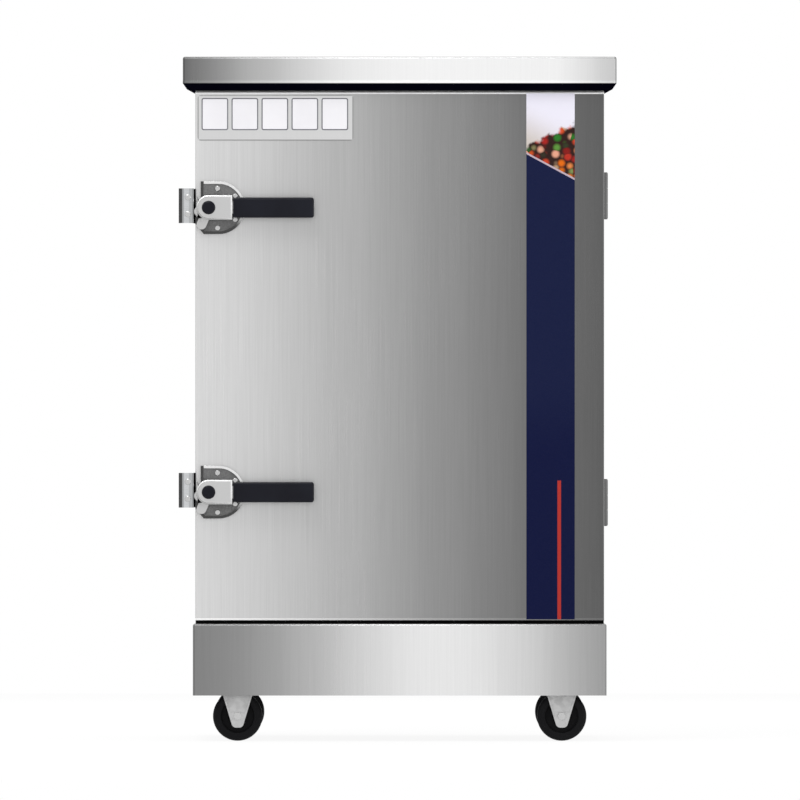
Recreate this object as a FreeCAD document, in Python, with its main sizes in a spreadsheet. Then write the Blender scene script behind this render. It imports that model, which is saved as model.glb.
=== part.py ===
import FreeCAD, Part
import math
import os
import re
import Sketcher

# Single-door steaming cabinet on casters, in millimetres.
# X runs to the right as the door is faced, Y runs to the back and Z runs up.
# The origin lies on the floor, under the middle of the whole footprint.

# Driving sizes, one plain number each
SIZES = {
    # Whole cabinet
    "overall_height": 1105,
    "cover_width": 700,
    "cover_depth": 600,
    "cover_overhang": 20,
    "forward_shift": 20,
    # Sheet thicknesses
    "skin": 1,
    "cover_sheet": 1.2,
    "base_sheet": 1.5,
    # Top cover and the sloped soffit under it
    "cover_edge": 43,
    "cover_corner": 4,
    "cover_lip": 15,
    "soffit_drop": 11,
    "soffit_ledge": 30,
    # Base skirt
    "skirt_clearance": 74,
    "skirt_height": 116,
    "skirt_proud": 4,
    "skirt_corner": 4,
    "skirt_lip": 12,
    # Insulated body
    "side_wall": 24,
    "rear_wall": 27,
    "base_wall": 25,
    "head_wall": 41,
    "panel_flange": 18,
    "liner_rise": 10,
    "frame_step": 3,
    "frame_lip": 12,
    "tank_depth": 105,
    # Door
    "door_thickness": 42,
    "door_gap_below": 5,
    "door_gap_above": 3,
    "door_fold": 2,
    "seal_gap": 8,
    "seal_play": 0.3,
    "gasket_width": 12,
    "gasket_inset": 5,
    "gasket_round": 3,
    "door_emboss": 6,
    "emboss_inset": 14,
    # Decorative strip and badge plate on the door
    "strip_width": 78,
    "strip_inset": 47.5,
    "strip_film": 0.4,
    "badge_width": 251,
    "badge_height": 73,
    "badge_left": 4,
    "badge_drop": 5,
    "badge_plate": 1,
    "badge_corner": 5,
    # Tray runners and trays
    "tray_count": 6,
    "tray_pitch": 110,
    "first_shelf": 30,
    "tray_height": 30,
    "tray_rim": 6,
    "tray_corner": 14,
    "tray_sheet": 1,
    "tray_play": 0.3,
    "tray_side_gap": 2,
    "tray_setback": 64,
    "tray_rear_gap": 19,
    "runner_sheet": 1.5,
    "runner_bearing": 14.5,
    "runner_upstand": 20,
    "runner_overrun": 14,
    "runner_stop": 10,
    "post_sheet": 2.5,
    "post_width": 25,
    "post_inset": 30,
    "post_margin": 20,
    # Steam spreader plate over the water
    "spreader_rise": 5,
    "spreader_sheet": 1.2,
    "spreader_margin": 12,
    "spreader_hole": 8,
    "spreader_side_play": 0.5,
    # Heating elements
    "element_radius": 5,
    "element_bend": 15,
    "element_pitch": 60,
    "element_middle": 160,
    "element_height": 24,
    "element_front": 60,
    "element_tail": 22,
    "bush_radius": 8,
    "bush_length": 40,
    "heater_nut": 12,
    "heater_nut_height": 7,
    # Pipes at the back
    "vent_height": 70,
    "vent_radius": 16,
    "vent_reach": 46,
    "vent_flange": 30,
    "flange_sheet": 2,
    "pipe_wall": 1.5,
    "balance_radius": 9,
    "balance_height": 26,
    "balance_reach": 8,
    "drain_radius": 11,
    "drain_back": 150,
    "drain_drop": 58,
    "drain_bend": 28,
    "drain_reach": 10,
    "drain_flange": 20,
    # Drain valve
    "valve_end": 16,
    "valve_end_length": 12,
    "valve_ball": 17,
    "valve_ball_length": 24,
    "valve_bore": 7.5,
    "thread_radius": 10.48,
    "thread_length": 14,
    "stem_radius": 4,
    "stem_height": 12,
    "stem_collar": 7,
    "stem_collar_height": 22,
    "lever_length": 84,
    "lever_width": 14,
    "lever_sheet": 3,
    "lever_hub": 10,
    # Float box
    "float_box_width": 180,
    "float_box_depth": 80,
    "float_box_height": 120,
    "float_box_inset": 90,
    "float_box_low": 35,
    "lid_skirt": 10,
    "lid_play": 0.4,
    "inlet_drop": 30,
    "inlet_reach": 22,
    "inlet_flange": 15,
    "inlet_flange_sheet": 4,
    "valve_body_radius": 9,
    "valve_body_length": 22,
    "arm_radius": 2.5,
    "arm_length": 92,
    "arm_hang": 42,
    "ball_radius": 22,
    "fork_gap": 7,
    "fork_ear": 2.5,
    "arm_pin": 2,
    "arm_eye": 5,
    # Terminal cover, block and gland
    "terminal_inset": 70,
    "terminal_width": 200,
    "terminal_depth": 60,
    "terminal_height": 130,
    "terminal_low": 25,
    "terminal_tab": 12,
    "block_width": 90,
    "block_height": 28,
    "block_depth": 22,
    "block_rise": 86,
    "block_wall": 2,
    "block_poles": 5,
    "gland_inset": 30,
    "gland_bore": 7,
    "gland_radius": 11,
    "gland_nut": 15,
    "gland_nut_height": 9,
    "gland_length": 28,
    # Latches, measured outwards from the door's face
    "latch_inset": 21.8,
    "latch_upper_drop": 186.7,
    "latch_lower_rise": 207.3,
    "latch_plate": 6,
    "latch_rim": 2,
    "latch_rim_width": 4,
    "latch_radius": 42.5,
    "latch_arc_offset": 16,
    "latch_left": 12.9,
    "latch_nose_top": 12,
    "latch_nose_low": 26,
    "latch_nose_foot": 8,
    "latch_boss": 14,
    "cam_thickness": 5,
    "cam_play": 0.5,
    "cam_width": 16,
    "cam_hub": 14,
    "cam_gap": 0.4,
    "cam_lobe_drop": 6,
    "cam_finger": 29.5,
    "head_radius": 19.75,
    "head_length": 38.2,
    "head_thickness": 22,
    "head_round": 3,
    "shank_end": 156,
    "shank_width": 20,
    "shank_thickness": 7,
    "shank_level": 27,
    "grip_gap": 1.2,
    "grip_end": 170,
    "grip_width": 33,
    "grip_thickness": 18,
    "grip_round": 4,
    "grip_collar": 5,
    "grip_groove": 1.2,
    "grip_fit": 0.1,
    "pivot_radius": 5,
    "pivot_cap": 11,
    "pivot_cap_height": 4.5,
    "pivot_cap_round": 3.5,
    "pivot_cap_play": 0.3,
    # Keepers
    "keeper_sheet": 3,
    "keeper_standoff": 2.2,
    "keeper_width": 24.3,
    "keeper_height": 56,
    "keeper_rise": 3.1,
    "keeper_reach": 18,
    "keeper_return": 18,
    "keeper_jog": 4,
    "keeper_foot": 45,
    "keeper_screw_inset": 9.3,
    "keeper_screw_spread": 27.4,
    "keeper_foot_screw": 26,
    # Hinges
    "hinge_offset": 3.2,
    "hinge_leaf": 3,
    "hinge_leaf_length": 30,
    "hinge_height": 73,
    "hinge_knuckle": 3.3,
    "hinge_pin": 1.6,
    "hinge_pin_head": 2.6,
    "hinge_pin_head_height": 1.5,
    "hinge_upper_drop": 167,
    "hinge_lower_rise": 190.3,
    "hinge_screw_spread": 44,
    "hinge_screw_row": 13,
    "knuckle_play": 0.3,
    # Screws and fits
    "screw_radius": 2,
    "screw_head": 4.2,
    "screw_head_height": 1.8,
    "screw_dome": 1.2,
    "flush_depth": 1.5,
    "screw_play": 0.1,
    "hole_play": 0.3,
    "run_fit": 0.06,
    "press_play": 0.02,
    "keeper_screw": 3,
    "keeper_screw_head": 5,
    "keeper_screw_head_height": 3,
    # Casters
    "caster_inset": 72,
    "caster_front_inset": 66,
    "caster_height": 106,
    "wheel_radius": 40,
    "wheel_width": 26,
    "wheel_hub_width": 31,
    "wheel_hub": 14,
    "wheel_rim_inside": 27,
    "wheel_web": 8,
    "wheel_round": 6,
    "fork_sheet": 3,
    "fork_play": 0.5,
    "fork_top_width": 65,
    "fork_tip": 8,
    "fork_tip_drop": 18.6,
    "fork_tip_round": 7.5,
    "fork_rim": 3.2,
    "fork_rim_depth": 0.8,
    "plate_length": 92,
    "plate_width": 66,
    "plate_corner": 6,
    "axle_radius": 4,
    "axle_head": 6.5,
    "axle_head_height": 4.5,
    "axle_end": 3,
    "bolt_radius": 4,
    "bolt_head": 7.5,
    "bolt_head_height": 5,
    "bolt_spacing_long": 72,
    "bolt_spacing_short": 46,
    "channel_width": 110,
    "channel_sheet": 3,
}

# Places and sizes that follow from the driving sizes
PLACES = {
    "half_cover": "cover_width / 2",
    "half_body": "half_cover - cover_overhang",
    "float_box_left": "half_body - float_box_inset",
    "terminal_left": "half_body - terminal_inset - terminal_width",
    "cover_front": "-(forward_shift + cover_depth / 2)",
    "cover_back": "cover_depth / 2 - forward_shift",
    "door_face": "cover_front + cover_overhang",
    "rear_face": "cover_back - cover_overhang",
    "soffit_top": "overall_height - cover_edge",
    "body_top": "soffit_top - soffit_drop",
    "skirt_top": "skirt_clearance + skirt_height",
    "half_skirt": "half_body + skirt_proud",
    "skirt_front": "door_face - skirt_proud",
    "skirt_back": "rear_face + skirt_proud",
    "deck_under": "skirt_top - base_sheet",
    "door_bottom": "skirt_top + door_gap_below",
    "door_top": "body_top - door_gap_above",
    "door_back": "door_face + door_thickness",
    "frame_face": "door_back + seal_gap",
    "panel_front": "frame_face + skin",
    "panel_inside": "half_body - skin",
    "back_outside": "rear_face - skin",
    "back_inside": "rear_face - 2 * skin",
    "half_liner": "half_body - side_wall",
    "liner_back": "rear_face - rear_wall",
    "tank_floor": "skirt_top + base_wall",
    "opening_half": "half_liner - frame_step",
    "opening_bottom": "tank_floor + tank_depth",
    "opening_top": "body_top - head_wall",
    "liner_top": "opening_top + liner_rise",
    "strip_right": "half_body - strip_inset",
    "badge_x": "-half_body + badge_left",
    "badge_top": "door_top - badge_drop",
    "shelf_base": "opening_bottom + first_shelf",
    "spreader_level": "opening_bottom + spreader_rise",
    "tray_front": "frame_face + tray_setback",
    "tray_back": "liner_back - tray_rear_gap",
    "tray_depth": "tray_back - tray_front",
    "runner_outer": "half_liner - post_sheet",
    "tray_width": "2 * (runner_outer - runner_sheet - tray_side_gap)",
    "runner_inner": "tray_width / 2 - runner_bearing",
    "element_level": "tank_floor + element_height",
    "element_start": "frame_face + element_front",
    "vent_level": "opening_top - vent_height",
    "balance_x": "-(float_box_left - float_box_width / 2)",
    "balance_level": "tank_floor + balance_height",
    "drain_level": "tank_floor - drain_drop - drain_bend",
    "drain_end": "skirt_back + drain_reach",
    "valve_middle": "drain_end + valve_end_length + valve_ball_length / 2",
    "valve_far": "drain_end + 2 * valve_end_length + valve_ball_length",
    "float_low": "skirt_top + float_box_low",
    "float_high": "float_low + float_box_height",
    "float_right": "float_box_width - float_box_left",
    "float_outer": "back_outside + float_box_depth",
    "inlet_level": "float_high - inlet_drop",
    "inlet_y": "back_outside + float_box_depth / 2",
    "arm_x": "cover_sheet + valve_body_length + arm_eye - float_box_left",
    "terminal_right": "terminal_left + terminal_width",
    "terminal_bottom": "skirt_top + terminal_low",
    "terminal_top": "terminal_bottom + terminal_height",
    "gland_x": "terminal_right - gland_inset",
    "gland_y": "back_outside + terminal_depth / 2",
    "latch_x": "latch_inset - half_body",
    "latch_rim_level": "latch_plate + latch_rim",
    "cam_low": "latch_rim_level + cam_play",
    "cam_high": "cam_low + cam_thickness",
    "head_level": "cam_high + head_thickness",
    "cap_level": "head_level + pivot_cap_play",
    "cam_reach": "latch_inset + keeper_standoff - cam_gap",
    "grip_start": "head_length + grip_gap",
    "keeper_front": "door_face - keeper_reach",
    "keeper_inner": "-(half_body + keeper_standoff)",
    "keeper_outer": "keeper_inner - keeper_width",
    "keeper_back": "frame_face + keeper_foot",
    "hinge_x": "half_body + hinge_offset",
    "hinge_y": "door_back + seal_gap / 2",
    "leaf_near": "seal_gap / 2",
    "leaf_far": "leaf_near + hinge_leaf_length",
    "leaf_middle": "leaf_near + hinge_leaf_length / 2",
    "leaf_outer": "hinge_leaf - hinge_offset",
    "knuckle_third": "hinge_height / 6",
    "caster_x": "half_skirt - caster_inset",
    "caster_front": "skirt_front + caster_front_inset",
    "caster_rear": "skirt_back - caster_front_inset",
    "cheek_inner": "wheel_hub_width / 2 + fork_play",
    "cheek_outer": "cheek_inner + fork_sheet",
    "plate_under": "caster_height - fork_sheet",
    "channel_outer": "half_skirt - base_sheet",
    "channel_inner": "channel_outer - channel_width",
    "web_top": "caster_height + channel_sheet",
}

# The two latches, the two hinges and the four casters stand at these places
LATCHES = {
    "upper": "door_top - latch_upper_drop",
    "lower": "door_bottom + latch_lower_rise",
}
HINGES = {
    "upper": "door_top - hinge_upper_drop",
    "lower": "door_bottom + hinge_lower_rise",
}
CASTERS = {
    "front_left": ("-caster_x", "caster_front"),
    "front_right": ("caster_x", "caster_front"),
    "rear_left": ("-caster_x", "caster_rear"),
    "rear_right": ("caster_x", "caster_rear"),
}
SIDES = {"left": "-1", "right": "1"}

# Shares chosen by hand
LATCH_SCREW_SHARES = [(-0.04, 0.73), (0.63, 0.44), (0.63, -0.44), (-0.04, -0.77)]
SPREADER_HOLE_SHARES = [-0.8, -0.48, -0.16, 0.16, 0.48, 0.8]
TERMINAL_TAB_SHARES = [0.15, 0.85]
CAM_FINGER_SHARES = (-0.39, -0.92)

doc = FreeCAD.newDocument("SteamingCabinet")
dims = doc.addObject("Spreadsheet::Sheet", "Dims")
for row, (name, value) in enumerate(SIZES.items(), start=1):
    dims.set(f"A{row}", name)
    dims.set(f"B{row}", str(value))
    dims.setAlias(f"B{row}", name)
doc.recompute()

PARTS = []


def formula(text):
    """Spell a text of plain names out as an expression on the sheet's cells."""
    def spell(match):
        word = match.group(0)
        if word in PLACES:
            return "(" + formula(PLACES[word]) + ")"
        if word in SIZES:
            return "Dims." + word
        raise KeyError(word)
    return re.sub(r"[a-z][a-z_]*", spell, text)


def number(text):
    return float(dims.evalExpression(formula(text)))


def bind(thing, prop, text):
    thing.setExpression(prop, formula(text))


# Drawing and cutting helpers

def rectangle(x0, x1, y0, y1):
    return ("outline", [(x0, y0), (x1, y0), (x1, y1), (x0, y1)])


def outline(*points):
    return ("outline", list(points))


def circle(x, y, radius):
    return ("circle", (x, y), radius)


def half_disc(x, y, radius):
    """The right half of a disc."""
    return ("half_disc", (x, y), radius)


def hexagon(x, y, radius):
    """A nut or bolt head of this corner radius."""
    points = []
    for corner in range(6):
        turn = math.radians(60 * corner)
        points.append((f"({x}) + ({radius}) * {math.cos(turn):.6f}",
                       f"({y}) + ({radius}) * {math.sin(turn):.6f}"))
    return ("outline", points)


def new_body(label):
    body = doc.addObject("PartDesign::Body", label)
    body.Label = label
    return body


def new_piece(label):
    body = new_body(label)
    PARTS.append(body)
    return body


def group(label, bodies):
    """Several like pieces that share one node, each still a solid of its own."""
    whole = doc.addObject("Part::Compound", label)
    whole.Label = label
    whole.Links = bodies
    PARTS.append(whole)


def put(part, x="0", y="0", z="0"):
    for axis, text in zip("xyz", (x, y, z)):
        bind(part, f"Placement.Base.{axis}", text)


def fix_point(sketch, index, end, x, y):
    """Hold one point of a drawn line or circle at its place."""
    for kind, text in (("DistanceX", x), ("DistanceY", y)):
        rule = Sketcher.Constraint(kind, -1, 1, index, end, number(text))
        bind(sketch, f"Constraints[{sketch.addConstraint(rule)}]", text)


def draw_half_disc(sketch, x, y, radius):
    centre = FreeCAD.Vector(number(x), number(y), 0)
    up = FreeCAD.Vector(0, number(radius), 0)
    whole = Part.Circle(centre, FreeCAD.Vector(0, 0, 1), number(radius))
    arc = sketch.addGeometry(Part.ArcOfCircle(whole, -math.pi / 2, math.pi / 2))
    line = sketch.addGeometry(Part.LineSegment(centre + up, centre - up))
    sketch.addConstraint(Sketcher.Constraint("Coincident", arc, 2, line, 1))
    sketch.addConstraint(Sketcher.Constraint("Coincident", line, 2, arc, 1))
    rule = Sketcher.Constraint("Radius", arc, number(radius))
    bind(sketch, f"Constraints[{sketch.addConstraint(rule)}]", radius)
    fix_point(sketch, arc, 3, x, y)
    for end in (1, 2):
        rule = Sketcher.Constraint("DistanceX", -1, 1, arc, end, number(x))
        bind(sketch, f"Constraints[{sketch.addConstraint(rule)}]", x)


def draw(body, plane, level, shapes):
    sketch = body.newObject("Sketcher::SketchObject", body.Label + "_sketch")
    origin = [o for o in body.Origin.OriginFeatures if o.Role == plane + "_Plane"]
    sketch.AttachmentSupport = (origin[0], [""])
    sketch.MapMode = "FlatFace"
    bind(sketch, "AttachmentOffset.Base.z", f"-({level})" if plane == "XZ" else level)
    for shape in shapes:
        if shape[0] == "circle":
            (x, y), radius = shape[1], shape[2]
            centre = FreeCAD.Vector(number(x), number(y), 0)
            curve = Part.Circle(centre, FreeCAD.Vector(0, 0, 1), number(radius))
            index = sketch.addGeometry(curve)
            rule = Sketcher.Constraint("Radius", index, number(radius))
            bind(sketch, f"Constraints[{sketch.addConstraint(rule)}]", radius)
            fix_point(sketch, index, 3, x, y)
            continue
        if shape[0] == "half_disc":
            draw_half_disc(sketch, *shape[1], shape[2])
            continue
        points = shape[1]
        ends = [FreeCAD.Vector(number(x), number(y), 0) for x, y in points]
        lines = [sketch.addGeometry(Part.LineSegment(a, b))
                 for a, b in zip(ends, ends[1:] + ends[:1])]
        for this, following in zip(lines, lines[1:] + lines[:1]):
            sketch.addConstraint(Sketcher.Constraint("Coincident", this, 2, following, 1))
        for index, (x, y) in zip(lines, points):
            fix_point(sketch, index, 1, x, y)
    return sketch


def pad(body, plane, low, high, *shapes):
    """Grow the shapes from low to high along the plane's own axis."""
    sketch = draw(body, plane, high if plane == "XZ" else low, shapes)
    feature = body.newObject("PartDesign::Pad", body.Label + "_pad")
    feature.Profile = sketch
    bind(feature, "Length", f"({high}) - ({low})")
    return feature


def cut(body, plane, low, high, *shapes):
    """Take the shapes away from low to high along the plane's own axis."""
    sketch = draw(body, plane, low if plane == "XZ" else high, shapes)
    feature = body.newObject("PartDesign::Pocket", body.Label + "_cut")
    feature.Profile = sketch
    bind(feature, "Length", f"({high}) - ({low})")
    return feature


def round_edges(body, radius, wanted):
    """Round every edge of the piece that the test picks."""
    doc.recompute()
    base = body.Tip
    names = [f"Edge{i}" for i, edge in enumerate(base.Shape.Edges, start=1) if wanted(edge)]
    feature = body.newObject("PartDesign::Fillet", body.Label + "_round")
    feature.Base = (base, names)
    bind(feature, "Radius", radius)
    return feature


def near(a, b):
    return abs(a - b) < 1e-4


def runs_along(edge, axis):
    """True for a straight edge parallel to X, Y or Z."""
    box = edge.BoundBox
    spans = {"X": box.XLength, "Y": box.YLength, "Z": box.ZLength}
    long_span = spans.pop(axis)
    return long_span > 1e-4 and all(span < 1e-4 for span in spans.values())


def lies_at(edge, axis, text):
    """True for an edge that lies in one plane across the axis."""
    low = getattr(edge.BoundBox, axis + "Min")
    high = getattr(edge.BoundBox, axis + "Max")
    return near(low, number(text)) and near(high, number(text))


def mirror(side, text):
    return f"{SIDES[side]} * ({text})"


# Top cover and soffit

def top_cover():
    body = new_piece("top_cover")
    pad(body, "XY", "soffit_top", "overall_height",
        rectangle("-half_cover", "half_cover", "cover_front", "cover_back"))
    round_edges(body, "cover_corner",
                lambda e: runs_along(e, "Z") or lies_at(e, "Z", "overall_height"))
    inside = "half_cover - cover_sheet"
    cut(body, "XY", "soffit_top + cover_sheet", "overall_height - cover_sheet",
        rectangle(f"-({inside})", inside, "cover_front + cover_sheet", "cover_back - cover_sheet"))
    inside = "half_cover - cover_lip"
    cut(body, "XY", "soffit_top", "soffit_top + cover_sheet",
        rectangle(f"-({inside})", inside, "cover_front + cover_lip", "cover_back - cover_lip"))


def cover_soffit():
    body = new_piece("cover_soffit")
    low = draw(body, "XY", "body_top",
               [rectangle("-half_body", "half_body", "door_face", "rear_face")])
    high = draw(body, "XY", "soffit_top",
                [rectangle("-half_cover", "half_cover", "cover_front", "cover_back")])
    slope = body.newObject("PartDesign::AdditiveLoft", "cover_soffit_slope")
    slope.Profile = low
    slope.Sections = [high]
    slope.Ruled = True
    low = draw(body, "XY", "body_top + cover_sheet",
               [rectangle("-(half_body - cover_sheet)", "half_body - cover_sheet",
                          "door_face + cover_sheet", "rear_face - cover_sheet")])
    inside = "half_cover - 3 * cover_sheet"
    high = draw(body, "XY", "soffit_top",
                [rectangle(f"-({inside})", inside,
                           "cover_front + 3 * cover_sheet", "cover_back - 3 * cover_sheet")])
    hollow = body.newObject("PartDesign::SubtractiveLoft", "cover_soffit_hollow")
    hollow.Profile = low
    hollow.Sections = [high]
    hollow.Ruled = True
    inside = "half_liner - soffit_ledge"
    cut(body, "XY", "body_top", "body_top + cover_sheet",
        rectangle(f"-({inside})", inside, "frame_face + soffit_ledge", "liner_back - soffit_ledge"))


# Insulated body

def element_places():
    """X of each leg of the heating elements."""
    for element in (-1, 0, 1):
        for leg in (-1, 1):
            yield f"element_middle + ({element}) * element_pitch + ({leg}) * element_bend"


def pipe_holes(body, low, high, play):
    """Holes in the back for the vent, the balance pipe and the heater bushes."""
    shapes = [circle("0", "vent_level", f"vent_radius + {play}"),
              circle("balance_x", "balance_level", f"balance_radius + {play}")]
    for x in element_places():
        shapes.append(circle(x, "element_level", f"bush_radius + {play}"))
    cut(body, "XZ", low, high, *shapes)


def keeper_level(name):
    return f"{LATCHES[name]} + keeper_rise"


def side_panel(side):
    body = new_piece("side_panel_" + side)
    points = [("half_body", "panel_front"), ("half_body", "rear_face"),
              ("half_body - panel_flange", "rear_face"), ("half_body - panel_flange", "back_outside"),
              ("panel_inside", "back_outside"), ("panel_inside", "panel_front + skin"),
              ("half_body - panel_flange", "panel_front + skin"),
              ("half_body - panel_flange", "panel_front")]
    pad(body, "XY", "skirt_top", "body_top", outline(*[(mirror(side, x), y) for x, y in points]))
    holes = []
    if side == "left":
        for name in LATCHES:
            for share in (-1, 1):
                z = f"{keeper_level(name)} + ({share}) * keeper_screw_spread / 2"
                holes.append(circle("frame_face + keeper_foot_screw", z, "screw_radius + hole_play"))
        cut(body, "YZ", "-half_body", "-panel_inside", *holes)
    else:
        for level in HINGES.values():
            for along, across in hinge_screw_places():
                holes.append(circle(f"hinge_y + {along}", f"{level} + {across}",
                                    "screw_radius + hole_play"))
        cut(body, "YZ", "panel_inside", "half_body", *holes)


def hinge_screw_places():
    """Along and up from the middle of a hinge leaf."""
    for row in (-1, 1):
        for share in (-1, 1):
            yield (f"leaf_middle + ({row}) * hinge_screw_row / 2",
                   f"({share}) * hinge_screw_spread / 2")


def back_panel():
    body = new_piece("back_panel")
    pad(body, "XZ", "back_inside", "back_outside",
        rectangle("-panel_inside", "panel_inside", "skirt_top", "body_top"))
    pipe_holes(body, "back_inside", "back_outside", "hole_play")


def front_frame():
    body = new_piece("front_frame")
    opening = rectangle("-opening_half", "opening_half", "opening_bottom", "opening_top")
    pad(body, "XZ", "frame_face", "panel_front",
        rectangle("-half_body", "half_body", "skirt_top", "body_top"), opening)
    pad(body, "XZ", "frame_face", "frame_face + frame_lip",
        rectangle("-(opening_half + skin)", "opening_half + skin",
                  "opening_bottom - skin", "opening_top + skin"), opening)


def inner_liner():
    body = new_piece("inner_liner")
    outside = "half_liner + skin"
    pad(body, "XZ", "panel_front", "liner_back + skin",
        rectangle(f"-({outside})", outside, "tank_floor - skin", "liner_top + skin"))
    cut(body, "XZ", "panel_front", "liner_back",
        rectangle("-half_liner", "half_liner", "tank_floor", "liner_top"))
    pipe_holes(body, "liner_back", "liner_back + skin", "hole_play")
    cut(body, "XY", "tank_floor - skin", "tank_floor",
        circle("0", "drain_back", "drain_radius + hole_play"))


def body_insulation():
    body = new_piece("body_insulation")
    pad(body, "XZ", "panel_front + skin", "back_inside",
        rectangle("-panel_inside", "panel_inside", "skirt_top", "body_top"))
    outside = "half_liner + skin"
    cut(body, "XZ", "panel_front + skin", "liner_back + skin",
        rectangle(f"-({outside})", outside, "tank_floor - skin", "liner_top + skin"))
    pipe_holes(body, "liner_back + skin", "back_inside", "2 * hole_play")
    cut(body, "XY", "skirt_top", "tank_floor - skin",
        circle("0", "drain_back", "drain_radius + 2 * hole_play"))


# Base

def base_skirt():
    body = new_piece("base_skirt")
    pad(body, "XY", "skirt_clearance", "skirt_top",
        rectangle("-half_skirt", "half_skirt", "skirt_front", "skirt_back"))
    round_edges(body, "skirt_corner",
                lambda e: runs_along(e, "Z") or lies_at(e, "Z", "skirt_top"))
    inside = "half_skirt - base_sheet"
    cut(body, "XY", "skirt_clearance + base_sheet", "deck_under",
        rectangle(f"-({inside})", inside, "skirt_front + base_sheet", "skirt_back - base_sheet"))
    inside = "half_skirt - skirt_lip"
    cut(body, "XY", "skirt_clearance", "skirt_clearance + base_sheet",
        rectangle(f"-({inside})", inside, "skirt_front + skirt_lip", "skirt_back - skirt_lip"))
    cut(body, "XY", "deck_under", "skirt_top", circle("0", "drain_back", "drain_radius + hole_play"))
    cut(body, "XZ", "skirt_back - base_sheet", "skirt_back",
        circle("0", "drain_level", "drain_radius + hole_play"))


def caster_bolt_places(x, y):
    """The four bolts of the caster whose middle is at x and y."""
    for across in (-1, 1):
        for along in (-1, 1):
            yield (f"{x} + ({across}) * bolt_spacing_short / 2",
                   f"{y} + ({along}) * bolt_spacing_long / 2")


def caster_channel(side):
    body = new_piece("caster_channel_" + side)
    points = [("channel_inner", "caster_height"), ("channel_outer", "caster_height"),
              ("channel_outer", "deck_under"), ("channel_outer - channel_sheet", "deck_under"),
              ("channel_outer - channel_sheet", "web_top"),
              ("channel_inner + channel_sheet", "web_top"),
              ("channel_inner + channel_sheet", "deck_under"), ("channel_inner", "deck_under")]
    pad(body, "XZ", "skirt_front + base_sheet", "skirt_back - base_sheet",
        outline(*[(mirror(side, x), z) for x, z in points]))
    holes = []
    for caster, place in CASTERS.items():
        if caster.endswith(side):
            holes += [circle(x, y, "bolt_radius + hole_play") for x, y in caster_bolt_places(*place)]
    cut(body, "XY", "caster_height", "web_top", *holes)


# Inside of the chamber

def tray_rack(side):
    body = new_piece("tray_rack_" + side)
    runner_front = "tray_front - runner_overrun"
    runner_back = "tray_back + tray_play + runner_sheet"
    for post in (f"{runner_front} + post_inset", f"{runner_back} - post_inset - post_width"):
        pad(body, "YZ", mirror(side, "half_liner") if side == "left" else "runner_outer",
            mirror(side, "runner_outer") if side == "left" else "half_liner",
            rectangle(post, f"{post} + post_width", "spreader_level - runner_sheet",
                      "shelf_base + (tray_count - 1) * tray_pitch + runner_upstand + post_margin"))

    def runner(level, upstand, back):
        """An angle that a tray slides on, its upright leg against the posts."""
        points = [("runner_outer", f"{level} - runner_sheet"),
                  ("runner_inner", f"{level} - runner_sheet"),
                  ("runner_inner", level),
                  ("runner_outer - runner_sheet", level),
                  ("runner_outer - runner_sheet", f"{level} + {upstand}"),
                  ("runner_outer", f"{level} + {upstand}")]
        return pad(body, "XZ", runner_front, back, outline(*[(mirror(side, x), z) for x, z in points]))

    runner("spreader_level", "spreader_sheet", runner_back)
    first = runner("shelf_base", "runner_upstand", runner_back)
    edges = sorted([mirror(side, "runner_inner"), mirror(side, "runner_outer")], key=number)
    stop = pad(body, "XZ", "tray_back + tray_play", runner_back,
               rectangle(edges[0], edges[1], "shelf_base - runner_sheet", "shelf_base + runner_stop"))
    pattern = body.newObject("PartDesign::LinearPattern", f"tray_rack_{side}_levels")
    pattern.Originals = [first, stop]
    pattern.Direction = (first.Profile[0], ["V_Axis"])
    bind(pattern, "Length", "(tray_count - 1) * tray_pitch")
    bind(pattern, "Occurrences", "tray_count")
    body.Tip = pattern


def steam_spreader():
    body = new_piece("steam_spreader")
    half = "runner_outer - runner_sheet - spreader_side_play"
    pad(body, "XY", "spreader_level", "spreader_level + spreader_sheet",
        rectangle(f"-({half})", half, "frame_face + frame_lip + spreader_margin",
                  "liner_back - spreader_margin"))
    holes = []
    for across in SPREADER_HOLE_SHARES:
        for along in SPREADER_HOLE_SHARES:
            holes.append(circle(f"{across} * opening_half",
                                f"(frame_face + liner_back) / 2 + {along} * tray_depth / 2",
                                "spreader_hole"))
    cut(body, "XY", "spreader_level", "spreader_level + spreader_sheet", *holes)


def tray(number_from_below):
    body = new_piece(f"tray_{number_from_below}")
    wall_half = "tray_width / 2 - tray_rim"
    hollow_half = "tray_width / 2 - tray_rim - tray_sheet"
    pad(body, "XY", "0", "tray_height",
        rectangle(f"-({wall_half})", wall_half, "tray_rim", "tray_depth - tray_rim"))
    pad(body, "XY", "tray_height - tray_sheet", "tray_height",
        rectangle("-tray_width / 2", "tray_width / 2", "0", "tray_depth"))
    cut(body, "XY", "tray_sheet", "tray_height",
        rectangle(f"-({hollow_half})", hollow_half, "tray_rim + tray_sheet",
                  "tray_depth - tray_rim - tray_sheet"))
    for half, radius in ((hollow_half, "tray_corner - tray_sheet"), (wall_half, "tray_corner"),
                         ("tray_width / 2", "tray_corner")):
        corner = number(half)
        round_edges(body, radius,
                    lambda e: runs_along(e, "Z") and near(abs(e.BoundBox.XMin), corner))
    put(body, y="tray_front",
        z=f"shelf_base + ({number_from_below} - 1) * tray_pitch + tray_play")


# Heating elements, made of straight tubes and half rings

def cylinder(label, radius, length, x, y, z, direction):
    tube = doc.addObject("Part::Cylinder", label)
    bind(tube, "Radius", radius)
    bind(tube, "Height", length)
    turns = {"Z": FreeCAD.Rotation(),
             "Y": FreeCAD.Rotation(FreeCAD.Vector(1, 0, 0), -90),
             "X": FreeCAD.Rotation(FreeCAD.Vector(0, 1, 0), 90)}
    tube.Placement = FreeCAD.Placement(FreeCAD.Vector(), turns[direction])
    put(tube, x, y, z)
    return tube


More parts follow.
